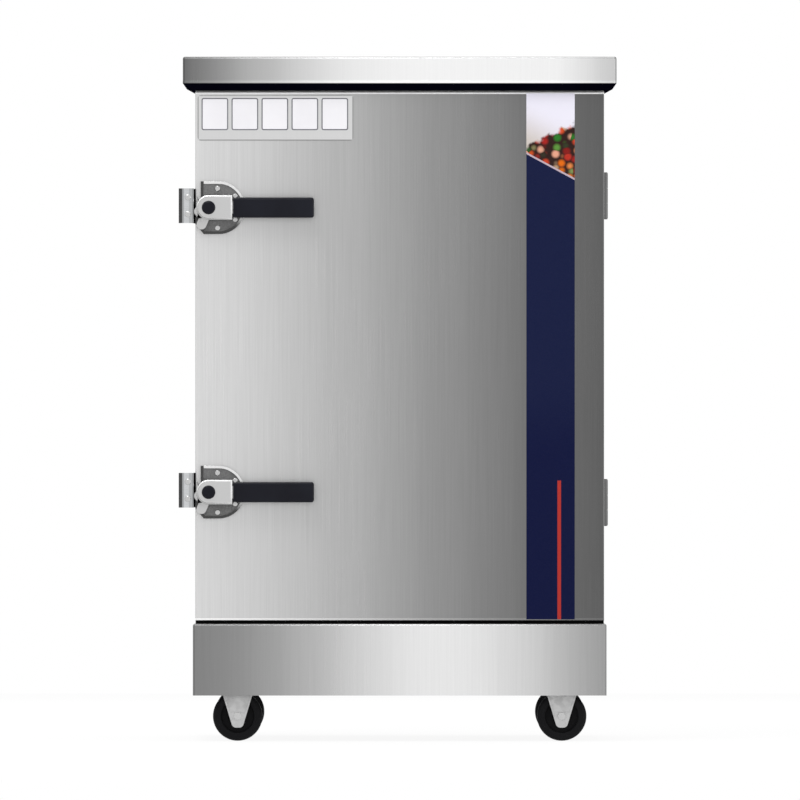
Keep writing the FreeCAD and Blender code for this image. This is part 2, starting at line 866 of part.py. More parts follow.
def ring(label, bend, radius, sweep, turn, x, y, z):
    arc = doc.addObject("Part::Torus", label)
    bind(arc, "Radius1", bend)
    bind(arc, "Radius2", radius)
    arc.Angle3 = sweep
    arc.Placement = FreeCAD.Placement(FreeCAD.Vector(), turn)
    put(arc, x, y, z)
    return arc


def join(label, shapes):
    whole = doc.addObject("Part::MultiFuse", label)
    whole.Label = label
    whole.Shapes = shapes
    return whole


def heating_elements():
    shapes = []
    half_turn = FreeCAD.Rotation(FreeCAD.Vector(0, 0, 1), 180)
    for element in (-1, 0, 1):
        x = f"element_middle + ({element}) * element_pitch"
        shapes.append(ring("element_bend", "element_bend", "element_radius", 180, half_turn,
                           x, "element_start", "element_level"))
    for x in element_places():
        shapes.append(cylinder("element_leg", "element_radius",
                               "back_outside + element_tail - (element_start)",
                               x, "element_start", "element_level", "Y"))
        shapes.append(cylinder("element_bush", "bush_radius", "bush_length",
                               x, "liner_back - (bush_length - (back_outside - (liner_back))) / 2",
                               "element_level", "Y"))
    PARTS.append(join("heating_elements", shapes))


def heater_nuts():
    body = new_piece("heater_nuts")
    for x in element_places():
        pad(body, "XZ", "back_outside", "back_outside + heater_nut_height",
            hexagon(x, "element_level", "heater_nut"),
            circle(x, "element_level", "bush_radius + screw_play"))


# Pipes at the back

def steam_vent_pipe():
    body = new_piece("steam_vent_pipe")
    bore = circle("0", "vent_level", "vent_radius - pipe_wall")
    pad(body, "XZ", "liner_back", "back_outside + vent_reach",
        circle("0", "vent_level", "vent_radius"), bore)
    pad(body, "XZ", "back_outside", "back_outside + flange_sheet",
        circle("0", "vent_level", "vent_flange"), bore)


def balance_pipe():
    body = new_piece("balance_pipe")
    pad(body, "XZ", "liner_back", "back_outside + cover_sheet + balance_reach",
        circle("balance_x", "balance_level", "balance_radius"),
        circle("balance_x", "balance_level", "balance_radius - pipe_wall"))


def drain_run(label, radius):
    """The drain's way down from the tank and out to the back."""
    quarter = FreeCAD.Rotation(FreeCAD.Vector(0, -1, 0), FreeCAD.Vector(0, 0, -1),
                               FreeCAD.Vector(1, 0, 0), "ZXY")
    down = cylinder(label + "_down", radius, "drain_drop + skin",
                    "0", "drain_back", "drain_level + drain_bend", "Z")
    bend = ring(label + "_bend", "drain_bend", radius, 90, quarter,
                "0", "drain_back + drain_bend", "drain_level + drain_bend")
    out = cylinder(label + "_out", radius, "drain_end - (drain_back + drain_bend)",
                   "0", "drain_back + drain_bend", "drain_level", "Y")
    return [down, bend, out]


def drain_pipe():
    flange = cylinder("drain_flange", "drain_flange", "flange_sheet",
                      "0", "drain_back", "tank_floor", "Z")
    neck = cylinder("drain_neck", "drain_radius", "skin",
                    "0", "drain_back", "tank_floor - skin", "Z")
    outer = join("drain_outer", drain_run("drain", "drain_radius") + [neck, flange])
    mouth = cylinder("drain_mouth", "drain_radius - pipe_wall", "flange_sheet + skin",
                     "0", "drain_back", "tank_floor - skin", "Z")
    inner = join("drain_inner", drain_run("drain_bore", "drain_radius - pipe_wall") + [mouth])
    pipe = doc.addObject("Part::Cut", "drain_pipe")
    pipe.Label = "drain_pipe"
    pipe.Base = outer
    pipe.Tool = inner
    PARTS.append(pipe)


# Drain valve

def drain_valve_body():
    body = new_piece("drain_valve_body")
    ball_start = "drain_end + valve_end_length"
    pad(body, "XZ", "drain_end", ball_start, hexagon("0", "drain_level", "valve_end"))
    pad(body, "XZ", ball_start, f"{ball_start} + valve_ball_length",
        circle("0", "drain_level", "valve_ball"))
    pad(body, "XZ", f"{ball_start} + valve_ball_length", "valve_far",
        hexagon("0", "drain_level", "valve_end"))
    pad(body, "XZ", "valve_far", "valve_far + thread_length",
        circle("0", "drain_level", "thread_radius"))
    pad(body, "XY", "drain_level", "drain_level + stem_collar_height",
        circle("0", "valve_middle", "stem_collar"))
    pad(body, "XY", "drain_level + stem_collar_height",
        "drain_level + stem_collar_height + stem_height",
        circle("0", "valve_middle", "stem_radius"))
    cut(body, "XZ", "drain_end", f"{ball_start} + pipe_wall", circle("0", "drain_level", "valve_bore"))
    cut(body, "XZ", "valve_far - pipe_wall", "valve_far + thread_length",
        circle("0", "drain_level", "valve_bore"))


def drain_valve_lever():
    """The lever points to the left when the valve is shut."""
    body = new_piece("drain_valve_lever")
    pad(body, "XY", "0", "2 * lever_sheet", circle("0", "0", "lever_hub"))
    pad(body, "XY", "0", "lever_sheet",
        rectangle("-lever_length", "0", "-lever_width / 2", "lever_width / 2"))
    round_edges(body, "lever_width / 2 - lever_sheet / 2",
                lambda e: runs_along(e, "Z") and near(e.BoundBox.XMin, -number("lever_length")))
    cut(body, "XY", "0", "2 * lever_sheet", circle("0", "0", "stem_radius + run_fit"))
    put(body, "0", "valve_middle", "drain_level + stem_collar_height + knuckle_play")


# Float box at the back, with its lid, valve, arm and ball

def float_box():
    body = new_piece("float_box")
    left = "-float_box_left"
    pad(body, "XY", "float_low", "float_high",
        rectangle(left, "float_right", "back_outside", "float_outer"))
    cut(body, "XY", "float_low + cover_sheet", "float_high",
        rectangle(f"{left} + cover_sheet", "float_right - cover_sheet",
                  "back_outside + cover_sheet", "float_outer - cover_sheet"))
    cut(body, "XZ", "back_outside", "back_outside + cover_sheet",
        circle("balance_x", "balance_level", "balance_radius + hole_play"))
    cut(body, "YZ", left, f"{left} + cover_sheet",
        circle("inlet_y", "inlet_level", "thread_radius + hole_play"))


def float_box_lid():
    body = new_piece("float_box_lid")
    edge = "lid_play + cover_sheet"
    left = f"-float_box_left - ({edge})"
    right = f"float_right + {edge}"
    low = "float_high - lid_skirt"
    pad(body, "XY", low, "float_high + cover_sheet + lid_play",
        rectangle(left, right, "back_outside + lid_play", f"float_outer + {edge}"))
    cut(body, "XY", low, "float_high + lid_play",
        rectangle("-float_box_left - lid_play", "float_right + lid_play",
                  "back_outside + lid_play", "float_outer + lid_play"))


def float_valve():
    body = new_piece("float_valve")
    left = "-float_box_left"
    inside = f"{left} + cover_sheet"
    middle = circle("inlet_y", "inlet_level", "thread_radius")
    pad(body, "YZ", f"{left} - inlet_reach", left, middle)
    pad(body, "YZ", left, inside, circle("inlet_y", "inlet_level", "thread_radius - hole_play"))
    pad(body, "YZ", inside, f"{inside} + inlet_flange_sheet",
        hexagon("inlet_y", "inlet_level", "inlet_flange"))
    pad(body, "YZ", f"{inside} + inlet_flange_sheet",
        f"{inside} + valve_body_length - arm_eye",
        circle("inlet_y", "inlet_level", "valve_body_radius"))
    ear = "fork_gap / 2 + fork_ear"
    for low, high in ((f"inlet_y - ({ear})", "inlet_y - fork_gap / 2"),
                      ("inlet_y + fork_gap / 2", f"inlet_y + {ear}")):
        pad(body, "XZ", low, high,
            rectangle(f"{inside} + inlet_flange_sheet", "arm_x + arm_eye",
                      "inlet_level - arm_eye", "inlet_level + arm_eye"))
    pad(body, "XZ", f"inlet_y - ({ear})", f"inlet_y + {ear}",
        circle("arm_x", "inlet_level", "arm_pin"))
    cut(body, "YZ", f"{left} - inlet_reach", inside,
        circle("inlet_y", "inlet_level", "thread_radius - 2 * pipe_wall"))


def float_arm():
    """Arm and ball, hanging as they do when the box is empty."""
    eye = doc.addObject("Part::Cylinder", "float_eye")
    bind(eye, "Radius", "arm_eye")
    bind(eye, "Height", "fork_gap - 2 * hole_play")
    eye.Placement = FreeCAD.Placement(FreeCAD.Vector(), FreeCAD.Rotation(FreeCAD.Vector(1, 0, 0), -90))
    put(eye, "arm_x", "inlet_y - fork_gap / 2 + hole_play", "inlet_level")
    bore = doc.addObject("Part::Cylinder", "float_bore")
    bind(bore, "Radius", "arm_pin + run_fit")
    bind(bore, "Height", "fork_gap")
    bore.Placement = eye.Placement
    put(bore, "arm_x", "inlet_y - fork_gap / 2", "inlet_level")
    rod = doc.addObject("Part::Cylinder", "float_rod")
    bind(rod, "Radius", "arm_radius")
    bind(rod, "Height", "(arm_length ^ 2 + arm_hang ^ 2) ^ 0.5")
    slope = FreeCAD.Rotation(FreeCAD.Vector(0, 0, 1),
                             FreeCAD.Vector(number("arm_length"), 0, -number("arm_hang")))
    rod.Placement = FreeCAD.Placement(FreeCAD.Vector(), slope)
    put(rod, "arm_x", "inlet_y", "inlet_level")
    ball = doc.addObject("Part::Sphere", "float_ball")
    bind(ball, "Radius", "ball_radius")
    put(ball, "arm_x + arm_length", "inlet_y", "inlet_level - arm_hang")
    whole = join("float_arm_whole", [eye, rod, ball])
    arm = doc.addObject("Part::Cut", "float_arm")
    arm.Label = "float_arm"
    arm.Base = whole
    arm.Tool = bore
    PARTS.append(arm)


# Terminal cover and what it holds

def terminal_cover():
    body = new_piece("terminal_cover")
    outer = "back_outside + terminal_depth"
    pad(body, "XZ", "back_outside", outer,
        rectangle("terminal_left", "terminal_right", "terminal_bottom", "terminal_top"))
    cut(body, "XZ", "back_outside", f"{outer} - cover_sheet",
        rectangle("terminal_left + cover_sheet", "terminal_right - cover_sheet",
                  "terminal_bottom + cover_sheet", "terminal_top - cover_sheet"))
    for low, high in (("terminal_left - terminal_tab", "terminal_left"),
                      ("terminal_right", "terminal_right + terminal_tab")):
        pad(body, "XZ", "back_outside", "back_outside + cover_sheet",
            rectangle(low, high, "terminal_bottom", "terminal_top"))
    cut(body, "XZ", "back_outside", "back_outside + cover_sheet",
        *[circle(x, z, "screw_radius + screw_play") for x, z in terminal_screw_places()])
    cut(body, "XY", "terminal_bottom", "terminal_bottom + cover_sheet",
        circle("gland_x", "gland_y", "gland_radius + screw_play"))


def terminal_screw_places():
    for x in ("terminal_left - terminal_tab / 2", "terminal_right + terminal_tab / 2"):
        for share in TERMINAL_TAB_SHARES:
            yield x, f"terminal_bottom + {share} * terminal_height"


def terminal_block():
    body = new_piece("terminal_block")
    left = "(terminal_left + terminal_right - block_width) / 2"
    low = "terminal_bottom + block_rise"
    pad(body, "XZ", "back_outside", "back_outside + block_depth",
        rectangle(left, f"{left} + block_width", low, f"{low} + block_height"))
    slots = []
    poles = round(number("block_poles"))
    for pole in range(poles):
        start = f"{left} + block_wall + {pole} * (block_width - block_wall) / block_poles"
        slots.append(rectangle(start, f"{start} + (block_width - block_wall) / block_poles - block_wall",
                               f"{low} + block_wall", f"{low} + block_height - block_wall"))
    sketch = draw(body, "XZ", "back_outside + block_depth", slots)
    pockets = body.newObject("PartDesign::Pocket", "terminal_block_slots")
    pockets.Profile = sketch
    pockets.Reversed = True
    bind(pockets, "Length", "block_depth / 2")


def cable_gland():
    body = new_piece("cable_gland")
    bottom = "terminal_bottom - gland_nut_height"
    bore = circle("gland_x", "gland_y", "gland_bore")
    pad(body, "XY", bottom, "terminal_bottom", hexagon("gland_x", "gland_y", "gland_nut"), bore)
    pad(body, "XY", "terminal_bottom", f"{bottom} - gland_nut_height + gland_length",
        circle("gland_x", "gland_y", "gland_radius"), bore)
    pad(body, "XY", f"{bottom} - gland_nut_height", bottom,
        circle("gland_x", "gland_y", "gland_radius + pipe_wall"), bore)


# Door

def door_outer_skin():
    body = new_piece("door_outer_skin")
    pad(body, "XZ", "door_face", "door_back",
        rectangle("-half_body", "half_body", "door_bottom", "door_top"))
    round_edges(body, "door_fold", lambda e: lies_at(e, "Y", "door_face"))
    cut(body, "XZ", "door_face + skin", "door_back",
        rectangle("-panel_inside", "panel_inside", "door_bottom + skin", "door_top - skin"))
    holes = []
    for level in LATCHES.values():
        for x, z in latch_screw_places():
            holes.append(circle(f"latch_x + {x}", f"{level} + {z}", "screw_radius + hole_play"))
    cut(body, "XZ", "door_face", "door_face + skin", *holes)
    holes = []
    for level in HINGES.values():
        for along, across in hinge_screw_places():
            holes.append(circle(f"hinge_y - ({along})", f"{level} + {across}",
                                "screw_radius + hole_play"))
    cut(body, "YZ", "panel_inside", "half_body", *holes)


def door_inner_skin():
    body = new_piece("door_inner_skin")
    pad(body, "XZ", "door_back - skin", "door_back",
        rectangle("-panel_inside", "panel_inside", "door_bottom + skin", "door_top - skin"))
    half = "opening_half - emboss_inset"
    pad(body, "XZ", "door_back", "door_back + door_emboss",
        rectangle(f"-({half})", half, "opening_bottom + emboss_inset", "opening_top - emboss_inset"))
    round_edges(body, "door_fold", lambda e: lies_at(e, "Y", "door_back + door_emboss"))
    half = f"{half} - skin"
    cut(body, "XZ", "door_back - skin", "door_back + door_emboss - skin",
        rectangle(f"-({half})", half, "opening_bottom + emboss_inset + skin",
                  "opening_top - emboss_inset - skin"))


def door_insulation():
    body = new_piece("door_insulation")
    pad(body, "XZ", "door_face + skin", "door_back - skin",
        rectangle("-panel_inside", "panel_inside", "door_bottom + skin", "door_top - skin"))


def door_gasket():
    body = new_piece("door_gasket")
    inner = "opening_half + gasket_inset"
    outer = f"{inner} + gasket_width"
    pad(body, "XZ", "door_back", "frame_face - seal_play",
        rectangle(f"-({outer})", outer, "opening_bottom - gasket_inset - gasket_width",
                  "opening_top + gasket_inset + gasket_width"),
        rectangle(f"-({inner})", inner, "opening_bottom - gasket_inset",
                  "opening_top + gasket_inset"))
    round_edges(body, "gasket_round", lambda e: lies_at(e, "Y", "frame_face - seal_play"))


def decor_strip():
    body = new_piece("decor_strip")
    pad(body, "XZ", "door_face - strip_film", "door_face",
        rectangle("strip_right - strip_width", "strip_right",
                  "door_bottom + door_fold", "door_top - door_fold"))


def badge_plate():
    body = new_piece("badge_plate")
    pad(body, "XZ", "door_face - badge_plate", "door_face",
        rectangle("badge_x", "badge_x + badge_width", "badge_top - badge_height", "badge_top"))
    round_edges(body, "badge_corner", lambda e: runs_along(e, "Y"))


# Latches, drawn around their own pivot with the door's face at y = 0

def latch_screw_places():
    for across, up in LATCH_SCREW_SHARES:
        yield f"latch_arc_offset + {across} * latch_radius", f"{up} * latch_radius"


def latch_left_part(inset):
    """The straight left part of the latch plate, with its slanted nose."""
    left = f"{inset} - latch_left"
    nose = f"{inset} - latch_inset + hole_play"
    return outline(("latch_arc_offset", f"latch_radius - {inset}"),
                   (left, f"latch_radius - {inset}"),
                   (left, "-latch_nose_top"),
                   (nose, f"-latch_nose_top - latch_rim_width - {inset} / 2"),
                   (nose, f"{inset} / 2 - latch_nose_low"),
                   (f"{inset} / 2 - latch_nose_foot", f"{inset} - latch_radius"),
                   ("latch_arc_offset", f"{inset} - latch_radius"))


def latch_base(name):
    body = new_piece("latch_base_" + name)
    front = "-latch_rim_level"
    pad(body, "XZ", front, "0", half_disc("latch_arc_offset", "0", "latch_radius"))
    pad(body, "XZ", front, "0", latch_left_part("0"))
    cut(body, "XZ", front, "-latch_plate",
        half_disc("latch_arc_offset", "0", "latch_radius - latch_rim_width"))
    cut(body, "XZ", front, "-latch_plate", latch_left_part("latch_rim_width"))
    pad(body, "XZ", front, "-latch_plate", circle("0", "0", "latch_boss"))
    cut(body, "XZ", front, "0", circle("0", "0", "pivot_radius + press_play"))
    cut(body, "XZ", "-latch_plate", "0",
        *[circle(x, z, "screw_radius + screw_play") for x, z in latch_screw_places()])
    put(body, "latch_x", "door_face", LATCHES[name])


def latch_lever(name):
    body = new_piece("latch_lever_" + name)
    pad(body, "XZ", "-head_level", "-cam_high", circle("0", "0", "head_radius"))
    pad(body, "XZ", "-head_level", "-cam_high",
        rectangle("0", "head_length", "-head_radius", "head_radius"))
    round_edges(body, "head_round", lambda e: lies_at(e, "Y", "-head_level"))
    pad(body, "XZ", "-(shank_level + shank_thickness / 2)", "-(shank_level - shank_thickness / 2)",
        rectangle("head_length", "shank_end", "-shank_width / 2", "shank_width / 2"))
    # The cam behind the head: a hub, a lobe towards the keeper and a finger below
    low, high = "-cam_high", "-cam_low"
    tip = "cam_width / 2"
    lobe_x = f"{tip} - (cam_reach)"
    pad(body, "XZ", low, high, circle("0", "0", "cam_hub"))
    pad(body, "XZ", low, high, circle(lobe_x, "-cam_lobe_drop", tip))
    pad(body, "XZ", low, high,
        rectangle(lobe_x, "0", f"-cam_lobe_drop - {tip}", f"{tip} - cam_lobe_drop"))
    across, up = CAM_FINGER_SHARES
    finger_x, finger_z = f"{across} * cam_finger", f"{up} * cam_finger"
    pad(body, "XZ", low, high, circle(finger_x, finger_z, tip))
    side_x, side_z = f"{-up} * {tip}", f"{across} * {tip}"
    pad(body, "XZ", low, high,
        outline((side_x, side_z), (f"-({side_x})", f"-({side_z})"),
                (f"{finger_x} - ({side_x})", f"{finger_z} - ({side_z})"),
                (f"{finger_x} + {side_x}", f"{finger_z} + {side_z}")))
    cut(body, "XZ", "-head_level", "-cam_low", circle("0", "0", "pivot_radius + run_fit"))
    put(body, "latch_x", "door_face", LATCHES[name])


def latch_grip(name):
    body = new_piece("latch_grip_" + name)
    front = "-(shank_level + grip_thickness / 2)"
    back = "-(shank_level - grip_thickness / 2)"
    pad(body, "XZ", front, back,
        rectangle("grip_start", "grip_end", "-grip_width / 2", "grip_width / 2"))
    end = number("grip_end")
    round_edges(body, "grip_round",
                lambda e: runs_along(e, "X") or near(e.BoundBox.XMin, end))
    groove = ("grip_start + grip_collar", "grip_start + grip_collar + grip_groove")
    cut(body, "XZ", front, f"{front} + grip_groove",
        rectangle(*groove, "-grip_width / 2", "grip_width / 2"))
    half = "shank_width / 2 + grip_fit"
    depth = "shank_thickness / 2 + grip_fit"
    cut(body, "XZ", f"-(shank_level + {depth})", f"-(shank_level - ({depth}))",
        rectangle("grip_start", "shank_end + grip_fit", f"-({half})", half))
    put(body, "latch_x", "door_face", LATCHES[name])


def latch_pivots():
    body = new_piece("latch_pivots")
    for level in LATCHES.values():
        pad(body, "XZ", "door_face - cap_level", "door_face",
            circle("latch_x", level, "pivot_radius"))
        pad(body, "XZ", "door_face - cap_level - pivot_cap_height", "door_face - cap_level",
            circle("latch_x", level, "pivot_cap"))
    round_edges(body, "pivot_cap_round",
                lambda e: lies_at(e, "Y", "door_face - cap_level - pivot_cap_height"))


def door_fasteners():
    """Slotted screws of the latch plates and flush screws of the door's hinge leaves."""
    body = new_piece("door_fasteners")
    shanks, heads = [], []
    for level in LATCHES.values():
        for x, z in latch_screw_places():
            place = (f"latch_x + {x}", f"{level} + {z}")
            shanks.append(circle(*place, "screw_radius"))
            heads.append(circle(*place, "screw_head"))
    seat = "door_face - latch_plate"
    pad(body, "XZ", seat, "door_face + skin", *shanks)
    pad(body, "XZ", f"{seat} - screw_head_height", seat, *heads)
    round_edges(body, "screw_dome", lambda e: lies_at(e, "Y", f"{seat} - screw_head_height"))
    leaf_screws(body, "hinge_y - ({})", "half_body - skin")


def leaf_screws(body, along_form, inner_end):
    shanks, heads = [], []
    for level in HINGES.values():
        for along, across in hinge_screw_places():
            place = (along_form.format(along), f"{level} + {across}")
            shanks.append(circle(*place, "screw_radius"))
            heads.append(circle(*place, "screw_head"))
    seat = "hinge_x + leaf_outer - flush_depth"
    pad(body, "YZ", inner_end, seat, *shanks)
    pad(body, "YZ", seat, "hinge_x + leaf_outer", *heads)


# Keepers

def keeper(name):
    body = new_piece("keeper_" + name)
    sheet = "keeper_sheet"
    strip = outline(
        ("-half_body", "keeper_back"),
        ("-half_body", "frame_face + keeper_jog"),
        ("keeper_inner", "frame_face"),
        ("keeper_inner", "keeper_front"),
        ("keeper_outer", "keeper_front"),
        ("keeper_outer", "keeper_front + keeper_return"),
        (f"keeper_outer + {sheet}", "keeper_front + keeper_return"),
        (f"keeper_outer + {sheet}", f"keeper_front + {sheet}"),
        (f"keeper_inner - {sheet}", f"keeper_front + {sheet}"),
        (f"keeper_inner - {sheet}", "frame_face"),
        (f"-half_body - {sheet}", "frame_face + keeper_jog"),
        (f"-half_body - {sheet}", "keeper_back"))
    pad(body, "XY", "-keeper_height / 2", "keeper_height / 2", strip)
    spread = [f"({share}) * keeper_screw_spread / 2" for share in (-1, 1)]
    cut(body, "XZ", "keeper_front", f"keeper_front + {sheet}",
        *[circle("keeper_inner - keeper_screw_inset", z, "keeper_screw + screw_play") for z in spread])
    cut(body, "YZ", f"-half_body - {sheet}", "-half_body",
        *[circle("frame_face + keeper_foot_screw", z, "screw_radius + screw_play") for z in spread])
    put(body, z=keeper_level(name))


def body_fasteners():
    """Screws of the keepers, the terminal cover and the body's hinge leaves."""
    body = new_piece("body_fasteners")
    front, side, heads, side_heads = [], [], [], []
    for name in LATCHES:
        for share in (-1, 1):
            z = f"{keeper_level(name)} + ({share}) * keeper_screw_spread / 2"
            front.append(circle("keeper_inner - keeper_screw_inset", z, "keeper_screw"))
            heads.append(circle("keeper_inner - keeper_screw_inset", z, "keeper_screw_head"))
            side.append(circle("frame_face + keeper_foot_screw", z, "screw_radius"))
            side_heads.append(circle("frame_face + keeper_foot_screw", z, "screw_head"))
    pad(body, "XZ", "keeper_front", "keeper_front + keeper_sheet + keeper_jog", *front)
    pad(body, "XZ", "keeper_front - keeper_screw_head_height", "keeper_front", *heads)
    round_edges(body, "screw_dome",
                lambda e: lies_at(e, "Y", "keeper_front - keeper_screw_head_height"))
    pad(body, "YZ", "-half_body - keeper_sheet", "-half_body + skin", *side)
    pad(body, "YZ", "-half_body - keeper_sheet - screw_head_height", "-half_body - keeper_sheet",
        *side_heads)
    seat = "back_outside + cover_sheet"
    pad(body, "XZ", "back_outside", seat,
        *[circle(x, z, "screw_radius") for x, z in terminal_screw_places()])
    pad(body, "XZ", seat, f"{seat} + screw_head_height",
        *[circle(x, z, "screw_head") for x, z in terminal_screw_places()])
    leaf_screws(body, "hinge_y + {}", "half_body - skin")


# Hinges, drawn around the pin's axis

def hinge_leaves(label, direction, ranges, bore_play):
    """Both leaves of one kind; direction is -1 for the door's and 1 for the body's."""
    body = new_piece(label)
    inner = "hinge_x - hinge_offset"
    outer = "hinge_x + leaf_outer"
    for level in HINGES.values():
        ends = sorted([f"hinge_y + ({direction}) * (leaf_near)",
                       f"hinge_y + ({direction}) * (leaf_far)"], key=number)
        pad(body, "YZ", inner, outer,
            rectangle(*ends, f"{level} - hinge_height / 2", f"{level} + hinge_height / 2"))
        for low, high in ranges:
            tab = sorted(["hinge_y", f"hinge_y + ({direction}) * (leaf_near)"], key=number)
            pad(body, "XY", f"{level} + {low}", f"{level} + {high}", rectangle(inner, outer, *tab))
            pad(body, "XY", f"{level} + {low}", f"{level} + {high}",
                circle("hinge_x", "hinge_y", "hinge_knuckle"))
        cut(body, "XY", f"{level} - hinge_height / 2", f"{level} + hinge_height / 2",
            circle("hinge_x", "hinge_y", f"hinge_pin + {bore_play}"))
    holes, seats = [], []
    for level in HINGES.values():
        for along, across in hinge_screw_places():
            place = (f"hinge_y + ({direction}) * ({along})", f"{level} + {across}")
            holes.append(circle(*place, "screw_radius + screw_play"))
            seats.append(circle(*place, "screw_head + screw_play"))
    cut(body, "YZ", inner, outer, *holes)
    cut(body, "YZ", f"{outer} - flush_depth", outer, *seats)


def hinges():
    third = "knuckle_third"
    hinge_leaves("hinge_body_leaves", 1,
                 [(f"-({third} - knuckle_play)", f"{third} - knuckle_play")], "run_fit")
    hinge_leaves("hinge_door_leaves", -1,
                 [("-hinge_height / 2", f"-{third}"), (third, "hinge_height / 2")], "press_play")
    body = new_piece("hinge_pins")
    for level in HINGES.values():
        low, high = f"{level} - hinge_height / 2", f"{level} + hinge_height / 2"
        pad(body, "XY", low, high, circle("hinge_x", "hinge_y", "hinge_pin"))
        pad(body, "XY", high, f"{high} + hinge_pin_head_height",
            circle("hinge_x", "hinge_y", "hinge_pin_head"))
        pad(body, "XY", f"{low} - hinge_pin_head_height", low,
            circle("hinge_x", "hinge_y", "hinge_pin_head"))


# Casters, drawn around the point where the wheel meets the floor

def caster_fork(caster):
    body = new_body("caster_fork_" + caster)
    pad(body, "XY", "plate_under", "caster_height",
        rectangle("-plate_width / 2", "plate_width / 2", "-plate_length / 2", "plate_length / 2"))
    round_edges(body, "plate_corner", lambda e: runs_along(e, "Z"))
    low = "wheel_radius - fork_tip_drop"
    for near_face, far_face in (("-cheek_outer", "-cheek_inner"), ("cheek_inner", "cheek_outer")):
        pad(body, "XZ", near_face, far_face,
            outline(("-fork_top_width / 2", "plate_under"), ("-fork_tip", low),
                    ("fork_tip", low), ("fork_top_width / 2", "plate_under")))
    round_edges(body, "fork_tip_round",
                lambda e: runs_along(e, "Y") and near(e.BoundBox.ZMin, number(low)))
    # The pressed hollow keeps an even rim along the slanting sides
    slant = f"(fork_top_width / 2 - fork_tip) / (plate_under - ({low}))"
    inner_tip = f"fork_tip + {slant} * (fork_tip_drop + axle_head) - fork_rim"
    inner_top = "fork_top_width / 2 - fork_rim"
    hollow = outline((f"-({inner_top})", "plate_under"),
                     (f"-({inner_tip})", "wheel_radius + axle_head"),
                     (inner_tip, "wheel_radius + axle_head"), (inner_top, "plate_under"))
    cut(body, "XZ", "-cheek_outer", "fork_rim_depth - cheek_outer", hollow)
    cut(body, "XZ", "cheek_outer - fork_rim_depth", "cheek_outer", hollow)
    cut(body, "XZ", "-cheek_outer", "cheek_outer",
        circle("0", "wheel_radius", "axle_radius + press_play"))
    cut(body, "XY", "plate_under", "caster_height",
        *[circle(x, y, "bolt_radius + hole_play") for x, y in caster_bolt_places("0", "0")])
    put(body, *CASTERS[caster])
    return body


def caster_wheel(caster):
    body = new_piece("caster_wheel_" + caster)
    hub, rim = "wheel_hub_width / 2", "wheel_width / 2"
    bore = "axle_radius + run_fit"
    right = [(hub, bore), (hub, "wheel_hub"), ("wheel_web / 2", "wheel_hub"),
             ("wheel_web / 2", "wheel_rim_inside"), (rim, "wheel_rim_inside"), (rim, "wheel_radius")]
    left = [(f"-({along})", out) for along, out in reversed(right)]
    sketch = draw(body, "YZ", "0", [outline(*right, *left)])
    turned = body.newObject("PartDesign::Revolution", body.Label + "_turned")
    turned.Profile = sketch
    turned.ReferenceAxis = (sketch, ["H_Axis"])
    turned.Angle = 360
    radius = number("wheel_radius")
    round_edges(body, "wheel_round",
                lambda e: near(e.BoundBox.ZMax, radius) and near(e.BoundBox.YLength, 0))
    x, y = CASTERS[caster]
    put(body, x, y, "wheel_radius")


def caster_bolts(caster):
    """The axle bolt with its nut, and the four bolts and nuts of the caster's plate."""
    body = new_body("caster_bolts_" + caster)
    pad(body, "XZ", "-cheek_outer", "cheek_outer + axle_head_height + axle_end",
        circle("0", "wheel_radius", "axle_radius"))
    pad(body, "XZ", "-(cheek_outer + axle_head_height)", "-cheek_outer",
        hexagon("0", "wheel_radius", "axle_head"))
    pad(body, "XZ", "cheek_outer", "cheek_outer + axle_head_height",
        hexagon("0", "wheel_radius", "axle_head"),
        circle("0", "wheel_radius", "axle_radius + screw_play"))
    places = list(caster_bolt_places("0", "0"))
    nut_top = "web_top + bolt_head_height"
    pad(body, "XY", "plate_under", f"{nut_top} + axle_end",
        *[circle(x, y, "bolt_radius") for x, y in places])
    pad(body, "XY", "plate_under - bolt_head_height", "plate_under",
        *[hexagon(x, y, "bolt_head") for x, y in places])
    nuts = []
    for x, y in places:
        nuts += [hexagon(x, y, "bolt_head"), circle(x, y, "bolt_radius + screw_play")]
    pad(body, "XY", "web_top", nut_top, *nuts)
    put(body, *CASTERS[caster])
    return body


def build():
    top_cover()
    cover_soffit()
    for side in SIDES:
        side_panel(side)
    back_panel()
    front_frame()
    inner_liner()
    body_insulation()
    base_skirt()
    for side in SIDES:
        caster_channel(side)
        tray_rack(side)
    steam_spreader()
    for level in range(round(number("tray_count"))):
        tray(level + 1)
    heating_elements()
    heater_nuts()
    steam_vent_pipe()
    balance_pipe()
    drain_pipe()
    drain_valve_body()
    drain_valve_lever()
    float_box()
    float_box_lid()
    float_valve()
    float_arm()
    terminal_cover()
    terminal_block()
    cable_gland()
    door_outer_skin()
    door_inner_skin()
    door_insulation()
    door_gasket()
    decor_strip()
    badge_plate()
    for name in LATCHES:
        latch_base(name)
        latch_lever(name)
        latch_grip(name)
        keeper(name)
    latch_pivots()
    door_fasteners()
    body_fasteners()
    hinges()
    for caster in CASTERS:
        caster_wheel(caster)
    group("caster_forks", [caster_fork(caster) for caster in CASTERS])
    group("caster_fasteners", [caster_bolts(caster) for caster in CASTERS])
    doc.recompute()


def write_parts():
    for thing in doc.Objects:
        if "Invalid" in thing.State or "Error" in thing.State:
            raise RuntimeError(f"{thing.Label} failed: {thing.State}")
    for part in PARTS:
        if part.Shape.isNull() or not part.Shape.isValid() or not part.Shape.Solids:
            raise RuntimeError(f"{part.Label} has no valid shape")
    os.makedirs("parts", exist_ok=True)
    for part in PARTS:
        part.Shape.exportStep(f"parts/{part.Label}.step")
        box = part.Shape.BoundBox
        print(f"{part.Label}: {len(part.Shape.Solids)} solid(s), "
              f"x {box.XMin:.1f} to {box.XMax:.1f}, y {box.YMin:.1f} to {box.YMax:.1f}, "
              f"z {box.ZMin:.1f} to {box.ZMax:.1f}")
    print(len(PARTS), "nodes written")


build()
write_parts()
